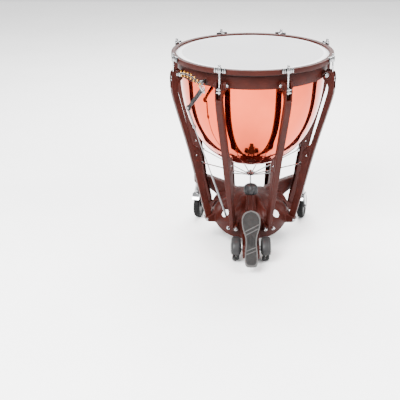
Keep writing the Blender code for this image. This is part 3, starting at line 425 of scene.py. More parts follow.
def make_rim():
    """Support ring, gasket, film with its raised collar, flesh hoop and counterhoop."""
    ring = [(0.3370, 0.8660), (0.3370, 0.8130), (0.3362, 0.8113), (0.3345, 0.8110)]
    ring += [(0.3320, 0.8110), (0.3320, 0.8680), (0.3345, 0.8680), (0.3362, 0.8676)]
    piece("ring_band", lathe(ring, 160, True), BROWN, "frame", ["support_ring"])
    gasket = [(0.3336, 0.8684), (0.3336, 0.8708), (0.3345, 0.8713), (0.3375, 0.8713)]
    gasket += [(0.3382, 0.8707), (0.3382, 0.8690), (0.3375, 0.8684)]
    piece("lip_gasket", lathe(gasket, 128, True), BLACK, "frame")
    film = [(0, 0.8963), (0.30, 0.8963), (0.3165, 0.8963), (0.3168, 0.8960), (0.3178, 0.8960)]
    film += [(0.3181, 0.8963), (0.3181, 0.8955), (0, 0.8955)]
    piece("head_film", lathe(film, 160), FILM, "frame", ["drumhead"])
    collar = [(0.3182, 0.8963), (0.3270, 0.8963), (0.3300, 0.8962), (0.3325, 0.8955)]
    collar += [(0.3370, 0.8932), (0.3440, 0.8908), (0.3450, 0.8904), (0.3450, 0.8902)]
    collar += [(0.33, 0.8955), (0.3182, 0.8955)]
    piece("head_collar", lathe(collar, 160, True), COLLAR, "frame")
    flesh = [(0.3476, 0.8828), (0.3482, 0.8822), (0.3550, 0.8822), (0.3556, 0.8828)]
    flesh += [(0.3556, 0.8920), (0.3550, 0.8926), (0.3482, 0.8926), (0.3476, 0.8920)]
    piece("flesh_ring", lathe(flesh, 128, True), ALUMINIUM, "hoop", ["flesh_hoop"])
    hoop = [(0.3456, 0.9000), (0.3466, 0.9010), (0.3640, 0.9010), (0.3652, 0.9004)]
    hoop += [(0.3658, 0.8990), (0.3660, 0.8972), (0.3660, 0.8800), (0.3652, 0.8784)]
    hoop += [(0.3638, 0.8780), (0.3592, 0.8780), (0.3584, 0.8786), (0.3584, 0.8930)]
    hoop.append((0.3456, 0.8930))
    piece("hoop_rim", lathe(hoop, 160, True, angle=60), BROWN, "hoop", ["counterhoop"])


def claw_meshes():
    """Casting on the hoop's face: chrome ribs over a dark back plate that paints the shade in the
    gaps between them, and a lug for the rod.
    """
    # The dark back plate shows only between the ribs, as painted shade there.
    back = bevelled(block((-0.0265, -0.3700, 0.8875), (0.0265, -0.3655, 0.9078)), 0.0010, 1)
    parts = []
    for centre, half in ((-0.0228, 0.0034), (-0.0140, 0.0028), (0.0140, 0.0028), (0.0228, 0.0034)):
        parts.append(block((centre - half, -0.3748, 0.8862), (centre + half, -0.3690, 0.9082)))
    for height in (0.8872, 0.9050):
        parts.append(block((-0.0262, -0.3730, height), (0.0262, -0.3690, height + 0.0026)))
    lug = [(-0.0092, -0.366), (0.0092, -0.366), (0.0092, -0.377), (0.0062, -0.3835), (0, -0.3858)]
    lug += [(-0.0062, -0.3835), (-0.0092, -0.377)]
    parts.append(slab(lug, 0.8870, 0.9085))
    parts.append(block((-0.0075, -0.3690, 0.9011), (0.0075, -0.3560, 0.9045)))
    return joined([bevelled(part, 0.0009, 2) for part in parts]), back


def rod_mesh():
    """Square head, washer, threaded shank and the swivel nut with its two bright bands."""
    shank = [(0, 0.9100), (0.0085, 0.9100), (0.0088, 0.9088), (0.0045, 0.9082), (0.0040, 0.9070)]
    height, thread_end, pitch = 0.872, 0.826, 0.0018
    shank.append((0.0040, height))
    while height > thread_end:
        shank += [(0.0040, height - 0.0002), (0.0035, height - 0.0009), (0.0040, height - 0.0016)]
        height -= pitch
    shank += [(0.0040, 0.8245), (0.0094, 0.8240), (0.0098, 0.8225), (0.0098, 0.8162)]
    shank += [(0.0094, 0.8152), (0.0060, 0.8148), (0.0060, 0.8108), (0.0094, 0.8104)]
    shank += [(0.0098, 0.8092), (0.0098, 0.8022), (0.0090, 0.8000), (0.0062, 0.7925)]
    shank += [(0.0045, 0.7911), (0, 0.7911)]
    head = bevelled(block((-0.0047, -0.0047, 0.9095), (0.0047, 0.0047, 0.9216)), 0.0007)
    return joined([lathe(shank, 28), head])


def make_rods():
    """At each station a claw with its dark plate of painted shade between the ribs, riding on the
    hoop, and a tension rod.
    """
    claw, plate = claw_meshes()
    rod = rod_mesh()
    for number, azimuth in enumerate(STATIONS, 1):
        piece(f"claw_{number}", claw.copy(), CHROME, "hoop", (), around(azimuth))
        piece(f"claw_rib_shade_{number}", plate.copy(), PLATE_DARK, "hoop", (), around(azimuth))
        spot = Matrix.Translation(at(azimuth, ROD_R, 0)) @ around(azimuth)
        node = f"tension_rod_{number}"
        piece(f"tuning_rod_{number}", rod.copy(), CHROME, f"rod_{number}", [node], spot)


# ---------------------------------------------------------------- struts
def strut_mesh():
    """Hollow cast arm with a forked head, octagonal bosses and a narrow blade foot."""
    outer = smooth_line([(0.3885, 0.836), (0.391, 0.815), (0.389, 0.765), (0.379, 0.708),
                         (0.310, 0.464), (0.262, 0.262), (0.2345, 0.150), (0.226, 0.112)], 5)
    inner = smooth_line([(0.2010, 0.102), (0.2020, 0.150), (0.2165, 0.211), (0.2300, 0.266),
                         (0.2370, 0.315), (0.2480, 0.375), (0.2540, 0.420), (0.2580, 0.460),
                         (0.2690, 0.4765), (0.2860, 0.489), (0.3010, 0.520), (0.3535, 0.714),
                         (0.3635, 0.764), (0.3600, 0.785), (0.3500, 0.797), (0.3390, 0.8075)], 4)
    outline = [(0.372, 0.8455), (0.3835, 0.8435), *outer, (0.2225, 0.102), *inner, (0.339, 0.838)]
    slot = [(0.3668, 0.772), (0.40, 0.770), (0.40, 0.86), (0.3668, 0.86)]
    channel = [(0.18, 0.165), (0.2325, 0.165), (0.2570, 0.262), (0.3000, 0.4415), (0.3025, 0.4555)]
    channel += [(0.18, 0.4555)]
    panel = circle((0.2800, 0.4560), 0.0085, 20, 170, 8) + [(0.2600, 0.4500), (0.2540, 0.4150)]
    panel += [(0.2830, 0.4150), (0.2890, 0.4400)]
    half, hollow = 0.015, 0.0102
    dents = [turned_to(slab(panel, low, high), UPRIGHT)
             for low, high in ((0.0132, 0.02), (-0.02, -0.0132))]
    body = cut(standing(outline, half), standing(slot, hollow), standing(channel, hollow), *dents)
    # The arm narrows to a blade from its middle down to its foot.
    for vert in body.vertices:
        vert.co.x *= np.interp(vert.co.z, (0.140, 0.375), (0.55, 1.0))
    bosses = []
    for side in (-1, 1):
        corners = [math.radians(22.5 + 45 * i) for i in range(8)]
        ear = [(EAR_R + 0.0200 * math.cos(a), EAR_Z + 0.0200 * math.sin(a)) for a in corners]
        low, high = sorted((side * 0.0110, side * 0.0270))
        well = circle((EAR_R, EAR_Z), 0.0135, count=20)
        boss = cut(slab(ear, low, high), slab(well, *sorted((side * 0.0225, side * 0.04))))
        bosses.append(turned_to(boss, UPRIGHT))
        lip = [(0.3850, 0.8150), (0.3914, 0.8150), (0.3898, 0.7640), (0.3830, 0.7660)]
        bosses.append(turned_to(slab(lip, *sorted((side * 0.0104, side * 0.0155))), UPRIGHT))
    lip = [(0.3840, 0.7700), (0.3910, 0.7700), (0.3898, 0.7640), (0.3830, 0.7640)]
    bosses.append(standing(lip, 0.0155))
    return cast(joined([body, *bosses]), 0.0017, 4)


def bolt_mesh(start, out, radius, length):
    """A washer with a domed acorn nut on it, pointing outwards."""
    wide, thick = radius * 1.25, length * 0.12
    washer = lathe([(0, 0), (wide, 0), (wide, thick), (0, thick)], 24)
    corners = [math.tau * i / 6 for i in range(6)]
    six = [(radius * math.cos(a), radius * math.sin(a)) for a in corners]
    hexagon = bevelled(slab(six, length * 0.1, length * 0.55), radius * 0.08, 1)
    dome = [(radius * 0.84 * math.cos(a), length * (0.52 + 0.48 * math.sin(a)))
            for a in np.linspace(0, 1.5, 7)]
    cap = lathe([(0, length * 0.5), *dome, (0, length)], 24)
    return turned_to(joined([washer, hexagon, cap]), Matrix.Translation(start) @ facing(out))


def screw_mesh(start, out, radius):
    """A low button-head screw with a round socket."""
    rim = [(0, 0), (radius, 0), (radius * 0.98, radius * 0.25), (radius * 0.75, radius * 0.5)]
    rim += [(radius * 0.42, radius * 0.58), (radius * 0.40, radius * 0.15), (0, radius * 0.15)]
    return turned_to(lathe(rim, 24), Matrix.Translation(start) @ facing(out))


def make_struts():
    """Struts with their bolts, screws and bright nut bars, and the levers and spokes' colours."""
    strut = strut_mesh()
    foot_bolts = []
    ear_bolts = []
    for side in (-1, 1):
        out = (side, 0, 0)
        foot = (side * 0.0188, -0.2255, 0.1150)
        foot_bolts.append(bolt_mesh(foot, (0, -1, 0.1), 0.0066, 0.0105))
        ear_bolts.append(bolt_mesh((side * 0.0222, -EAR_R, EAR_Z), out, 0.0092, 0.0115))
        ear_bolts.append(screw_mesh((side * 0.0140, -0.2760, 0.4410), out, 0.0042))
    for low in (0.8130, 0.8005):
        bar = block((-0.0103, -0.3893, low), (0.0103, -0.3872, low + 0.0080))
        ear_bolts.append(bevelled(bar, 0.0007, 2))
    feet = joined(foot_bolts)
    ears = joined(ear_bolts)
    for number, azimuth in enumerate(STATIONS, 1):
        turn = around(azimuth)
        piece(f"strut_arm_{number}", strut.copy(), BROWN, "frame", [f"strut_{number}"], turn)
        piece(f"strut_bolts_{number}", joined([feet, ears]), CHROME, "frame", (), turn)
        recolour(f"rocker_lever_{number}", STEEL)
        recolour(f"spoke_{number}", CHROME)


def make_spider():
    """Hub with a ball on top, a dark socket for each spoke and a collar below."""
    hub = [(0, 0.3290), (0.0040, 0.3283), (0.0072, 0.3255), (0.0078, 0.3225), (0.0060, 0.3190)]
    hub += [(0.0050, 0.3170), (0.0160, 0.3160), (0.0175, 0.3148), (0.0175, 0.3085)]
    hub += [(0.0160, 0.3060), (0.0085, 0.3030), (0.0070, 0.3012), (0, 0.3012)]
    piece("spider_casting", lathe(hub, 40), CHROME, "spider", ["spider_hub"])
    sockets = [tube(at(azimuth, 0.0150, 0.3105), at(azimuth, 0.0192, 0.3120), 0.0046, 0.0056, 16)
               for azimuth in STATIONS]
    piece("spider_sockets", joined(sockets), PLATE_DARK, "spider")
    for name in ("pull_rod", "draw_bar", "bell_crank", "balance_spring"):
        recolour(name, STEEL)


# ---------------------------------------------------------------- base, column, knob
def rim_height(x):
    """The skirt's lower edge: lowest in the middle and rising to both sides."""
    return min(0.099, 0.0527 + 53.8 * x**4)


def dip(point):
    """Moves the dome's bottom ring to the skirt's edge."""
    if point.z < 0.06 and math.hypot(point.x, point.y) > 0.05:
        point.z = rim_height(point.x)
    return point


def skinned(bm, rings):
    """A solid with its skin stretched over rings of points, and both ends closed."""
    sides = len(rings[0])
    for first, second in zip(rings, rings[1:]):
        for i in range(sides):
            j = (i + 1) % sides
            bm.faces.new((first[i], first[j], second[j], second[i]))
    bm.faces.new(rings[0])
    bm.faces.new(rings[-1][::-1])
    return finish_mesh(bm)


def ridge(azimuth, line, sides=14):
    """A rounded hump from points of (radius, height, half width, half depth)."""
    bm = bmesh.new()
    rings = []
    for radius, height, half_w, half_h in smooth_line(line, 5):
        ring = []
        for i in range(sides):
            turn = math.tau * i / sides
            spot = (half_w * math.cos(turn), -radius, height - half_h + half_h * math.sin(turn))
            ring.append(bm.verts.new(spot))
        rings.append(ring)
    return turned_to(skinned(bm, rings), around(azimuth))


def rear_arm(side):
    """A beam out to a caster, with a ledge along each flank."""
    radii = (0.040, 0.080, 0.120, 0.170, 0.200, 0.240, 0.280, CASTER_R)
    lows = (0.150, 0.150, 0.150, 0.156, 0.173, 0.190, 0.1920, 0.1925)
    highs = (0.208, 0.222, 0.231, 0.239, 0.2415, 0.245, 0.246, 0.246)
    right = ((0.023, 0.0), (0.0265, 0.40), (0.0225, 0.66), (0.0195, 0.70), (0.0175, 0.95),
             (0.010, 1.0))
    section = [(-0.023, 0.0), *right, *[(-x, share) for x, share in right[:0:-1]]]
    bm = bmesh.new()
    rings = []
    for radius in np.linspace(0.04, CASTER_R, 24):
        low = np.interp(radius, radii, lows)
        high = np.interp(radius, radii, highs)
        rings.append([bm.verts.new((x, -radius, low + share * (high - low)))
                      for x, share in section])
    return turned_to(skinned(bm, rings), around(side * REAR_ARM_AZIMUTH))


def over_caster(side):
    """The floor point under a caster's stem, on the left (-1) or the right (1)."""
    return Matrix.Translation(at(side * REAR_ARM_AZIMUTH, CASTER_R, 0))


def make_base():
    """Flowing casting: domed middle, a hump to each strut's foot, skirt and arms."""
    dome = smooth_line([(0.0, 0.2305), (0.045, 0.2295), (0.070, 0.2215), (0.105, 0.200),
                        (0.152, 0.174), (0.176, 0.150), (0.1855, 0.128), (0.1875, 0.110)], 4)
    solids = [lathe([(max(r, 0), z) for r, z in dome] + [(0.1875, 0.05), (0, 0.05)], 96, wave=dip)]
    lugs = []
    for azimuth in STATIONS:
        # The humps at the two sides are broader.
        wide = 1.45 if abs(azimuth) in (67.5, 112.5) else 1.0
        line = [(0.060, 0.222, 0.020 * wide, 0.020), (0.110, 0.207, 0.024 * wide, 0.034),
                (0.150, 0.193, 0.024 * wide, 0.042), (0.172, 0.180, 0.0215 * wide, 0.040),
                (0.186, 0.162, 0.0165 * wide, 0.030)]
        solids.append(ridge(azimuth, line))
        lug = [(0.150, 0.160), (0.188, 0.150), (0.198, 0.139), (0.2215, 0.1305), (0.2265, 0.124)]
        lug += [(0.2265, 0.107), (0.222, 0.1025), (0.185, 0.096), (0.150, 0.110)]
        lugs.append(turned_to(standing(lug, 0.0203), around(azimuth)))
    for side in (-1, 1):
        solids.append(rear_arm(side))
        barrel = [(0, 0.2488), (0.0145, 0.2488), (0.0185, 0.243), (0.0185, 0.1925), (0, 0.1925)]
        solids.append(turned_to(lathe(barrel, 32), over_caster(side)))
        hump = ridge(side * 22.5, [(0.020, 0.226, 0.020, 0.012), (0.055, 0.228, 0.024, 0.014),
                                   (0.085, 0.222, 0.026, 0.022), (0.110, 0.206, 0.024, 0.026)])
        solids.append(hump)
    arm = [(-0.372, 0.0385), (-0.15, 0.0545), (-0.15, 0.088), (-0.20, 0.078), (-0.380, 0.078)]
    arm += [(-0.3865, 0.071), (-0.3865, 0.056), (-0.381, 0.044)]
    solids.append(turned_to(slab(arm, -0.0385, 0.0385), SIDEWAYS))
    axle_lug = circle((PEDAL_AXLE_Y, PEDAL_AXLE_Z), 0.0132, 0, 180, 12)
    axle_lug += [(-0.3652, 0.06), (-0.3388, 0.06)]
    solids.append(turned_to(slab(axle_lug, -0.0382, 0.0382), SIDEWAYS))
    # Cut away: the hollow inside, the front slot, five round openings, the forks for the
    # struts' feet and the hole for the pull rod.
    tools = []
    hollow = smooth_line([(0.0, 0.2235), (0.045, 0.222), (0.066, 0.214), (0.102, 0.192),
                          (0.146, 0.166), (0.169, 0.144), (0.1775, 0.124), (0.1795, 0.108)], 3)
    tools.append(lathe([(max(r, 0), z) for r, z in hollow] + [(0.1795, 0.0), (0, 0.0)], 96))
    tools.append(block((-0.0225, -0.3798, 0.0), (0.0225, -0.100, 0.1385)))
    for azimuth in (-90.0, -45.0, 45.0, 90.0, 180.0):
        middle = at(azimuth, 0.172, 0.161)
        lean = (at(azimuth, 1, 0) + Vector((0, 0, 0.9))) * 0.035
        tools.append(tube(middle - lean, middle + lean, 0.0215, sides=40))
    for azimuth in STATIONS:
        fork = block((-0.0090, -0.30, 0.08), (0.0090, -0.1990, 0.1500))
        tools.append(turned_to(fork, around(azimuth)))
    tools.append(tube((0, 0, 0.20), (0, 0, 0.26), 0.0105, sides=32))
    solid = cast(joined([cast(joined(solids), 0.0032, 16), *lugs]), 0.0026, 2)
    for tool in tools:
        solid = cut(solid, tool)
    piece("base_body", cast(solid, 0.0022, 3), BROWN, "frame", ["base_casting"])
    make_base_trim()


def make_base_trim():
    """Wheel axles, pedal axle's screws, crank cheeks, arm caps and the pull rod's collar."""
    trim = []
    dark = []
    for side in (-1, 1):
        cap = [(0, 0.2515), (0.010, 0.2512), (0.0128, 0.2498), (0.0132, 0.247), (0, 0.247)]
        dark.append(turned_to(lathe(cap, 32), over_caster(side)))
        near, far = [(side * x, WHEEL_Y, WHEEL_Z) for x in (0.0245, 0.088)]
        trim.append(tube(near, far, 0.0050, sides=24))
        axle_end = (side * 0.0384, PEDAL_AXLE_Y, PEDAL_AXLE_Z)
        trim.append(screw_mesh(axle_end, (side, 0, 0), 0.0062))
    for side in (-1, 1):
        near, far = sorted((side * 0.0156, side * 0.0204))
        trim.append(block((near, -0.064, 0.079), (far, -0.036, 0.2230)))
    collar = [(0.0105, 0.2295), (0.0105, 0.2335), (0.0135, 0.2345), (0.0160, 0.2335)]
    collar.append((0.0165, 0.2295))
    dark.append(lathe(collar, 40, True))
    piece("base_trim", joined(trim), STEEL, "frame")
    piece("base_caps", joined(dark), BLACK, "frame")


def column_frame():
    """The spring column's own frame: its foot, with Z up along it."""
    foot = Vector((0, -0.1343, 0.1780))
    return Matrix.Translation(foot) @ facing(Vector((0, -0.1190, 0.2500)) - foot)


def fluted(point):
    """Eight rounded flutes down the outside of the column."""
    reach = math.hypot(point.x, point.y)
    if reach < 0.0175:
        return point
    turn = math.atan2(point.y, point.x) + math.pi / 2
    scale = 1 - 0.21 * (0.5 + 0.5 * math.cos(8 * turn)) ** 0.9
    return Vector((point.x * scale, point.y * scale, point.z))


def scalloped(point):
    """Six finger grips round the knob, deepest at its foot."""
    reach = math.hypot(point.x, point.y)
    turn = math.atan2(point.y, point.x) + math.pi / 2
    depth = 0.42 * np.interp(point.z, (0.0, 0.010, 0.030, 0.040), (1.0, 0.85, 0.12, 0.0))
    depth = depth * np.interp(reach, (0.012, 0.024), (0, 1))
    scale = 1 - depth * (0.5 - 0.5 * math.cos(6 * turn)) ** 1.3
    return Vector((point.x * scale, point.y * scale, point.z))


def make_column():
    """Fluted spring column with a flared foot, and the scalloped knob on top of it."""
    frame_of = column_frame()
    line = smooth_line([(0.0205, COLUMN_TOP), (0.0215, 0.052), (0.0245, 0.026), (0.0295, 0.006),
                        (0.0305, 0.0004)], 6)
    shell = lathe(line + [(0.0168, 0.0004), (0.0168, COLUMN_TOP)], 144, True, fluted)
    piece("column_shell", shell, BROWN, "frame", ["spring_housing"], frame_of)
    skirt = smooth_line([(0.0240, 0.030), (0.0285, 0.004), (0.0325, -0.018), (0.0335, -0.046)], 5)
    skirt = skirt + [(0.0300, -0.046), (0.0235, 0.029)]
    piece("column_foot", lathe(skirt, 144, True, fluted), BROWN, "frame", (), frame_of)
    top = smooth_line([(0.0, 0.0535), (0.013, 0.0522), (0.024, 0.0470), (0.031, 0.0380),
                       (0.0345, 0.0270), (0.0355, 0.0170), (0.0340, 0.0090), (0.0300, 0.0050),
                       (0.0255, 0.0010)], 5)
    top = [(max(r, 0), z) for r, z in top] + [(0, 0.0010)]
    knob = lathe(top, 144, wave=scalloped, angle=70)
    spot = frame_of @ Matrix.Translation((0, 0, COLUMN_TOP))
    piece("knob_cap", knob, KNOB_GREY, "spring_knob", ["spring_knob"], spot)


# ---------------------------------------------------------------- pedal
# Half of the sole from the middle of the heel to the middle of the toe: (half width, length).
SOLE = ((0.0, 0.0005), (0.0175, 0.0022), (0.0262, 0.012), (0.0290, 0.035), (0.0282, 0.070),
        (0.0252, 0.105), (0.0252, 0.135), (0.0300, 0.165), (0.0390, 0.200), (0.0425, 0.230),
        (0.0400, 0.255), (0.0275, 0.278), (0.0, 0.2898))


def sole(inset):
    """The sole's outline, drawn in by a margin."""
    right = []
    for x, y in smooth_line(SOLE, 5):
        y = inset + y * (1 - 2 * inset / PEDAL_LENGTH)
        right.append((max(x - inset, 0.0) if x > 0.001 else 0.0, y))
    left = [(-x, y) for x, y in reversed(right) if x > 0.0005]
    return right + left


def strip(points, half, low, high):
    """A straight flat bar between two points in XY."""
    (x0, y0), (x1, y1) = points
    away = Vector((y0 - y1, x1 - x0)).normalized() * half
    outline = [(x0 - away.x, y0 - away.y), (x1 - away.x, y1 - away.y)]
    outline += [(x1 + away.x, y1 + away.y), (x0 + away.x, y0 + away.y)]
    return slab(outline, low, high)


def sole_half(y):
    """The sole's half width at a distance from the heel."""
    line = smooth_line(SOLE, 5)
    return float(np.interp(y, [p[1] for p in line], [p[0] for p in line]))


def make_pedal():
    """Foot plate: a shallow tray with a rubber pad, slanting ribs and black strips of painted
    shade that stand for grooves.
    """
    tilt = Matrix.Translation(PEDAL_HEEL) @ Matrix.Rotation(math.radians(PEDAL_SLOPE), 4, "X")
    tray = cut(slab(sole(0), -0.0098, 0.0), slab(sole(0.0052), -0.0026, 0.01))
    tray = bevelled(tray, 0.0012, 3, 50)
    raised = []
    margin = 0.0054
    for y0, y1, half in ((0.178, 0.216, 0.0022), (0.160, 0.194, 0.0022), (0.078, 0.098, 0.0020),
                         (0.060, 0.081, 0.0020)):
        x0 = sole_half(y0) - margin
        x1 = sole_half(y1) - margin
        raised.append(strip(((-x0, y0), (x1, y1)), half, -0.003, -0.0014))
    # Black strips lying on the pad: painted shade where grooves would be.
    groove_shade_strips = [strip(((x, 0.100 + abs(x)), (x, 0.162 - abs(x))), 0.0011, -0.0027, -0.0023)
               for x in (-0.0130, -0.0065, 0.0, 0.0065, 0.0130)]
    piece("pedal_groove_shade", joined(groove_shade_strips), BLACK, "pedal", (), tilt)
    ribs = joined([bevelled(item, 0.0005, 2) for item in raised])
    pad = slab(sole(0.0056), -0.006, -0.00255)
    piece("pedal_tray", tray, PEDAL_RIM, "pedal", ["pedal_plate"], tilt)
    piece("pedal_pad", pad, PEDAL_GREY, "pedal", (), tilt)
    piece("pedal_ribs", ribs, PEDAL_RIM, "pedal", (), tilt)
    lever = applied(NODES["pedal_lever"].data.copy())
    lever = bevelled(lever, 0.0008, 2)
    piece("pedal_bracket", lever, BROWN, "pedal", ["pedal_lever"], HOME.inverted())


# ---------------------------------------------------------------- front wheels
def make_front_wheels():
    """Omniwheels: two rows of nine barrel rollers on a pale hub, each under its hood."""
    quarter = math.pi / 2
    for name, side in SIDES:
        spot = Matrix.Translation((side * WHEEL_X, WHEEL_Y, WHEEL_Z))
        rollers = []
        hub = []
        for row, shift in ((-1, 0.0), (1, 0.5)):
            x = row * 0.0092
            for i in range(9):
                turn = Matrix.Rotation(math.tau * (i + shift) / 9, 4, "X")
                barrel = [(0.0052, -0.0150), (0.0070, -0.0090), (0.0077, 0), (0.0070, 0.0090)]
                barrel.append((0.0052, 0.0150))
                roller = lathe(smooth_line(barrel, 3) + [(0, 0.0150)], 20)
                roller = joined([roller, lathe([(0, -0.0150), (0.0052, -0.0150)], 20)])
                lay = Matrix.Translation((x, 0, 0.0420)) @ Matrix.Rotation(quarter, 4, "X")
                rollers.append(turned_to(roller, turn @ lay))
                prong = block((x - 0.0030, -0.0030, 0.028), (x + 0.0030, 0.0030, 0.0445))
                between = Matrix.Rotation(math.tau * (i + shift + 0.5) / 9, 4, "X")
                hub.append(turned_to(bevelled(prong, 0.0006, 1), between))
            disc = lathe([(0.006, -0.0078), (0.031, -0.0078), (0.0335, -0.0055), (0.0335, 0.0055),
                          (0.031, 0.0078), (0.006, 0.0078)], 48, True)
            lay = Matrix.Translation((x, 0, 0)) @ Matrix.Rotation(quarter, 4, "Y")
            hub.append(turned_to(disc, lay))
        wheel = f"omniwheel_{name}"
        piece(f"rollers_{name}", joined(rollers), BLACK, wheel, [wheel], spot)
        piece(f"roller_hub_{name}", joined(hub), CREAM, wheel, (), spot)
        make_hood(name, side)


def make_hood(name, side):
    """Rounded fender: a crowned strip bent over the wheel, with cheeks down both sides."""
    bm = bmesh.new()
    rings = []
    sections, across = 30, 20
    back, front = 14, 181
    for i in range(sections + 1):
        turn = math.radians(back + (front - back) * i / sections)
        ring = []
        for k in range(across + 1):
            share = -1 + 2 * k / across
            x = 0.0252 * math.copysign(abs(share) ** 0.8, share)
            reach = 0.0602 - 0.0180 * abs(share) ** 3.4
            if k in (0, across):
                reach = 0.017
            elif k in (1, across - 1):
                reach = 0.0360
            ring.append(bm.verts.new((x, reach * math.cos(turn), reach * math.sin(turn))))
        rings.append(ring)
    for first, second in zip(rings, rings[1:]):
        for k in range(across):
            bm.faces.new((first[k], first[k + 1], second[k + 1], second[k]))
    mesh = finish_mesh(bm, 80)
    mesh = applied(mesh, ("SOLIDIFY", {"thickness": 0.0026, "offset": -1.0}),
                   ("SUBSURF", {"levels": 1, "render_levels": 1}))
    mesh.shade_smooth()
    spot = Matrix.Translation((side * WHEEL_X, WHEEL_Y, WHEEL_Z))
    piece(f"hood_shell_{name}", mesh, HOOD_GREY, "frame", [f"wheel_hood_{name}"], spot)


# ---------------------------------------------------------------- casters
def make_casters():
    """Swivel casters: tyre, hub, the CAD's fork and brake with rounded edges, axle nuts."""
    for name, side in SIDES:
        spot = over_caster(side) @ Matrix.Rotation(math.radians(CASTER_SWIVEL), 4, "Z")
        axle = Matrix.Translation((0, CASTER_TRAIL, CASTER_AXLE_Z))
        wheel_spot = spot @ axle @ Matrix.Rotation(math.pi / 2, 4, "Y")
        half = [(0.0450, 0.0148), (0.0560, 0.0150), (0.0608, 0.0135), (0.0630, 0.0080)]
        tread = half + [(0.0635, 0.0)] + [(r, -z) for r, z in reversed(half)]
        tread = smooth_line(tread, 4)
        wheel = f"caster_wheel_{name}"
        piece(f"caster_tyre_{name}", lathe(tread, 96, True), TYRE, wheel, [wheel], wheel_spot)
        hub = [(0.0056, 0.0148), (0.0120, 0.0148), (0.0140, 0.0110), (0.0380, 0.0090)]
        hub.append((0.0452, 0.0135))
        hub += [(r, -z) for r, z in reversed(hub)]
        piece(f"caster_hub_{name}", lathe(hub, 64, True), BLACK, wheel, (), wheel_spot)
        fork = f"caster_fork_{name}"
        mesh = bevelled(NODES[fork].data.copy(), 0.0007, 2)
        piece(f"caster_yoke_{name}", mesh, CHROME, f"caster_{name}", [fork], HOME.inverted())
        nuts = [bolt_mesh((end * 0.0200, CASTER_TRAIL, CASTER_AXLE_Z), (end, 0, 0), 0.0062, 0.0055)
                for end in (1, -1)]
        piece(f"caster_nuts_{name}", joined(nuts), CHROME, f"caster_{name}", (), spot)
        brake = f"caster_brake_{name}"
        mesh = bevelled(NODES[brake].data.copy(), 0.0008, 2)
        piece(f"brake_pad_{name}", mesh, CHROME, brake, [brake], HOME.inverted())


# ---------------------------------------------------------------- tuning gauge
def gauge_frame():
    """The gauge's own frame: the pointer's pivot, X along the hoop, Y up and Z outwards."""
    pivot = Matrix.Translation(at(GAUGE_AZIMUTH, GAUGE_R, GAUGE_Z))
    return pivot @ around(GAUGE_AZIMUTH) @ FACING_OUT


def polar(radius, degrees):
    """The (x, y) of a point at a radius and an angle."""
    return (radius * math.cos(math.radians(degrees)), radius * math.sin(math.radians(degrees)))


def arc_band(inner, outer, start, end):
    """The outline of a curved band between two radii and two angles."""
    return circle((0, 0), outer, start, end, 40) + circle((0, 0), inner, start, end, 40)[::-1]


def in_plane(degrees):
    """A turn within a flat drawing."""
    return Matrix.Rotation(math.radians(degrees), 4, "Z")


def make_gauge():
    """Curved rail on its arm, and what sits on it."""
    place = gauge_frame()
    rail = arc_band(0.1418, 0.1522, RAIL_START, RAIL_END)
    groove = arc_band(0.1450, 0.1490, GAUGE_ARM, RAIL_END - 2)
    mesh = cut(slab(rail, -0.0015, 0.0015), slab(groove, -0.01, 0.01))
    band = bevelled(mesh, 0.0004, 1)
    parts = []
    end = polar(RAIL_R, GAUGE_ARM)
    arm = [(0, -0.0045), (RAIL_R, -0.0045), (RAIL_R, 0.0045), (0, 0.0045)]
    arm = turned_to(slab(arm, -0.0034, -0.0010), in_plane(GAUGE_ARM))
    parts.append(bevelled(arm, 0.0004, 1))
    parts.append(tube((0, 0, -0.0035), (0, 0, 0.0022), 0.010, sides=32))
    parts.append(screw_mesh((*end, 0.0014), (0, 0, 1), 0.0035))
    x, y = polar(RAIL_R, 61)
    bracket = block((x - 0.005, y - 0.009, -0.0340), (x + 0.005, y + 0.009, 0.0003))
    parts.append(bevelled(bracket, 0.0006, 1))
    tip = Matrix.Translation((0, RAIL_R, 0)) @ in_plane(RAIL_TIP)
    tip = place @ tip @ Matrix.Translation((0, -RAIL_R, 0))
    piece("gauge_rail", band, CHROME, "frame", ["gauge_scale"], tip)
    piece("gauge_arm", joined(parts), STEEL, "frame", (), place)
    make_note_marks(tip)
    make_pointer(place @ in_plane(POINTER_REST))


def make_note_marks(tip):
    """Two brass tabs for each note, and dark clips on the rail's lower half."""
    marks = []
    plates = []
    for degrees in (59, 67, 75, 83.5, 92, 100.5, 109):
        outer = block((0.1510, -0.0042, 0.0016), (0.1595, 0.0042, 0.0046))
        inner = block((0.1335, -0.0032, 0.0016), (0.1425, 0.0032, 0.0042))
        for tab in (outer, inner):
            marks.append(turned_to(bevelled(tab, 0.0006, 1), in_plane(degrees)))
        if degrees < 90:
            clip = bevelled(block((0.1435, 0.0046, 0.0012), (0.1505, 0.0145, 0.0034)), 0.0004, 1)
            plates.append(turned_to(clip, in_plane(degrees)))
    piece("note_marks", joined(marks), BRASS, "frame", (), tip)
    piece("note_clips", joined(plates), PLATE_DARK, "frame", (), tip)


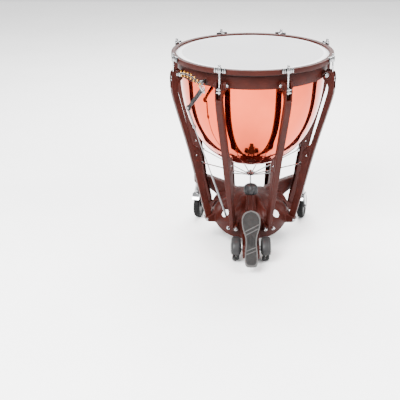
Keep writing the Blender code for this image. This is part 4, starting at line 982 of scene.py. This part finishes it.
def make_pointer(lean):
    """Pointer blade with four sunk panels, and the window that slides over the notes."""
    blade = [(0.0, -0.0085), (0.132, -0.0068), (0.132, 0.0068), (0.0, 0.0085)]
    panels = [block((x, -0.0050, 0.0042), (x + 0.021, 0.0050, 0.01))
              for x in (0.020, 0.046, 0.072, 0.098)]
    blade = cut(slab(blade, 0.0032, 0.0056), *panels)
    ring = circle((0, 0), 0.0135, count=32)
    blade = joined([blade, bevelled(slab(ring, 0.0030, 0.0064), 0.0006, 2)])
    piece("pointer_blade", blade, ARM_GREY, "gauge_pointer", ["gauge_pointer"], lean)
    inlay = [(0.018, -0.0056), (0.121, -0.0052), (0.121, 0.0052), (0.018, 0.0056)]
    piece("pointer_inlay", slab(inlay, 0.0034, 0.0046), PLATE_DARK, "gauge_pointer", (), lean)
    window = cut(block((0.1335, -0.0130, 0.0050), (0.1600, 0.0130, 0.0074)),
                 block((0.1390, -0.0085, 0.0), (0.1555, 0.0085, 0.01)))
    pin = tube((0, 0, 0.0060), (0, 0, 0.0085), 0.0052, sides=24)
    window = joined([bevelled(window, 0.0006, 2), pin])
    piece("pointer_window", window, CHROME, "gauge_pointer", (), lean)


def make_link():
    """Push rod from the base up to the pointer, with its adjusting collars."""
    foot = Vector((-0.113, -0.113, 0.1365))
    pivot = at(GAUGE_AZIMUTH, GAUGE_R, GAUGE_Z)
    top = pivot + around(GAUGE_AZIMUTH).to_3x3() @ Vector((0.010, -0.0125, -0.007))
    along = top - foot
    # (radius, distance below the top end), then (radius, distance above the foot)
    upper = [(0, 0), (0.0042, 0), (0.0048, 0.001), (0.0048, 0.076), (0.0060, 0.078)]
    upper += [(0.0078, 0.081), (0.0085, 0.086), (0.0078, 0.091), (0.0050, 0.095), (0.0026, 0.097)]
    lower = [(0.0026, 0.252), (0.0044, 0.249), (0.0044, 0.052), (0.0062, 0.049), (0.0062, 0.044)]
    lower += [(0.0050, 0.042), (0.0050, 0.036), (0.0064, 0.034), (0.0064, 0.030)]
    lower += [(0.0048, 0.028), (0.0048, 0.0), (0, 0)]
    mesh = lathe([(radius, along.length - down) for radius, down in upper] + lower, 28)
    place = Matrix.Translation(foot) @ facing(along)
    piece("push_rod", mesh, STEEL, "gauge_link", ["gauge_link"], place)


# ---------------------------------------------------------------- camera, light, floor
def make_stage():
    """White floor and surroundings, and three soft lamps aimed at the drum."""
    floor = bpy.data.objects.new("floor", block((-6, -6, -0.02), (6, 6, 0.0)))
    white = worn("floor_white", (0.86, 0.86, 0.86), (0.90, 0.90, 0.90), 2, (0.6, 0.7))
    floor.data.materials.append(white)
    bpy.context.scene.collection.objects.link(floor)
    world = bpy.data.worlds.new("studio")
    world.use_nodes = True
    sky = world.node_tree.nodes["Background"].inputs
    sky["Color"].default_value = (1, 1, 1, 1)
    sky["Strength"].default_value = 1.25
    bpy.context.scene.world = world
    lamps = (((-1.8, -2.8, 3.4), 760, 2.4), ((2.6, -1.6, 2.8), 260, 2.4),
             ((0.2, 2.2, 3.6), 560, 3.0))
    for spot, energy, size in lamps:
        light = bpy.data.lights.new("softbox", "AREA")
        light.energy = energy
        light.size = size
        holder = bpy.data.objects.new("softbox", light)
        holder.location = spot
        aim = Vector((0, 0, 0.55)) - Vector(spot)
        holder.rotation_euler = aim.to_track_quat("-Z", "Y").to_euler()
        bpy.context.scene.collection.objects.link(holder)


def make_camera():
    """The camera in front of the drum, a little above it, with its angles in radians."""
    camera = bpy.data.objects.new("camera", bpy.data.cameras.new("camera"))
    yaw, pitch, roll = -0.0337, 0.386, 0.0055
    level = math.cos(pitch)
    look = Vector((math.sin(yaw) * level, math.cos(yaw) * level, -math.sin(pitch)))
    camera.location = (-0.0936, AXIS_Y - 4.3432, 1.9374)
    aim = look.to_track_quat("-Z", "Y").to_matrix() @ Matrix.Rotation(-roll, 3, "Z")
    camera.rotation_euler = aim.to_euler()
    camera.data.lens = 88.11
    bpy.context.scene.collection.objects.link(camera)
    bpy.context.scene.camera = camera


make_camera()
make_stage()
make_kettle()
make_rim()
make_rods()
make_struts()
make_spider()
make_base()
make_column()
make_pedal()
make_front_wheels()
make_casters()
make_gauge()
make_link()
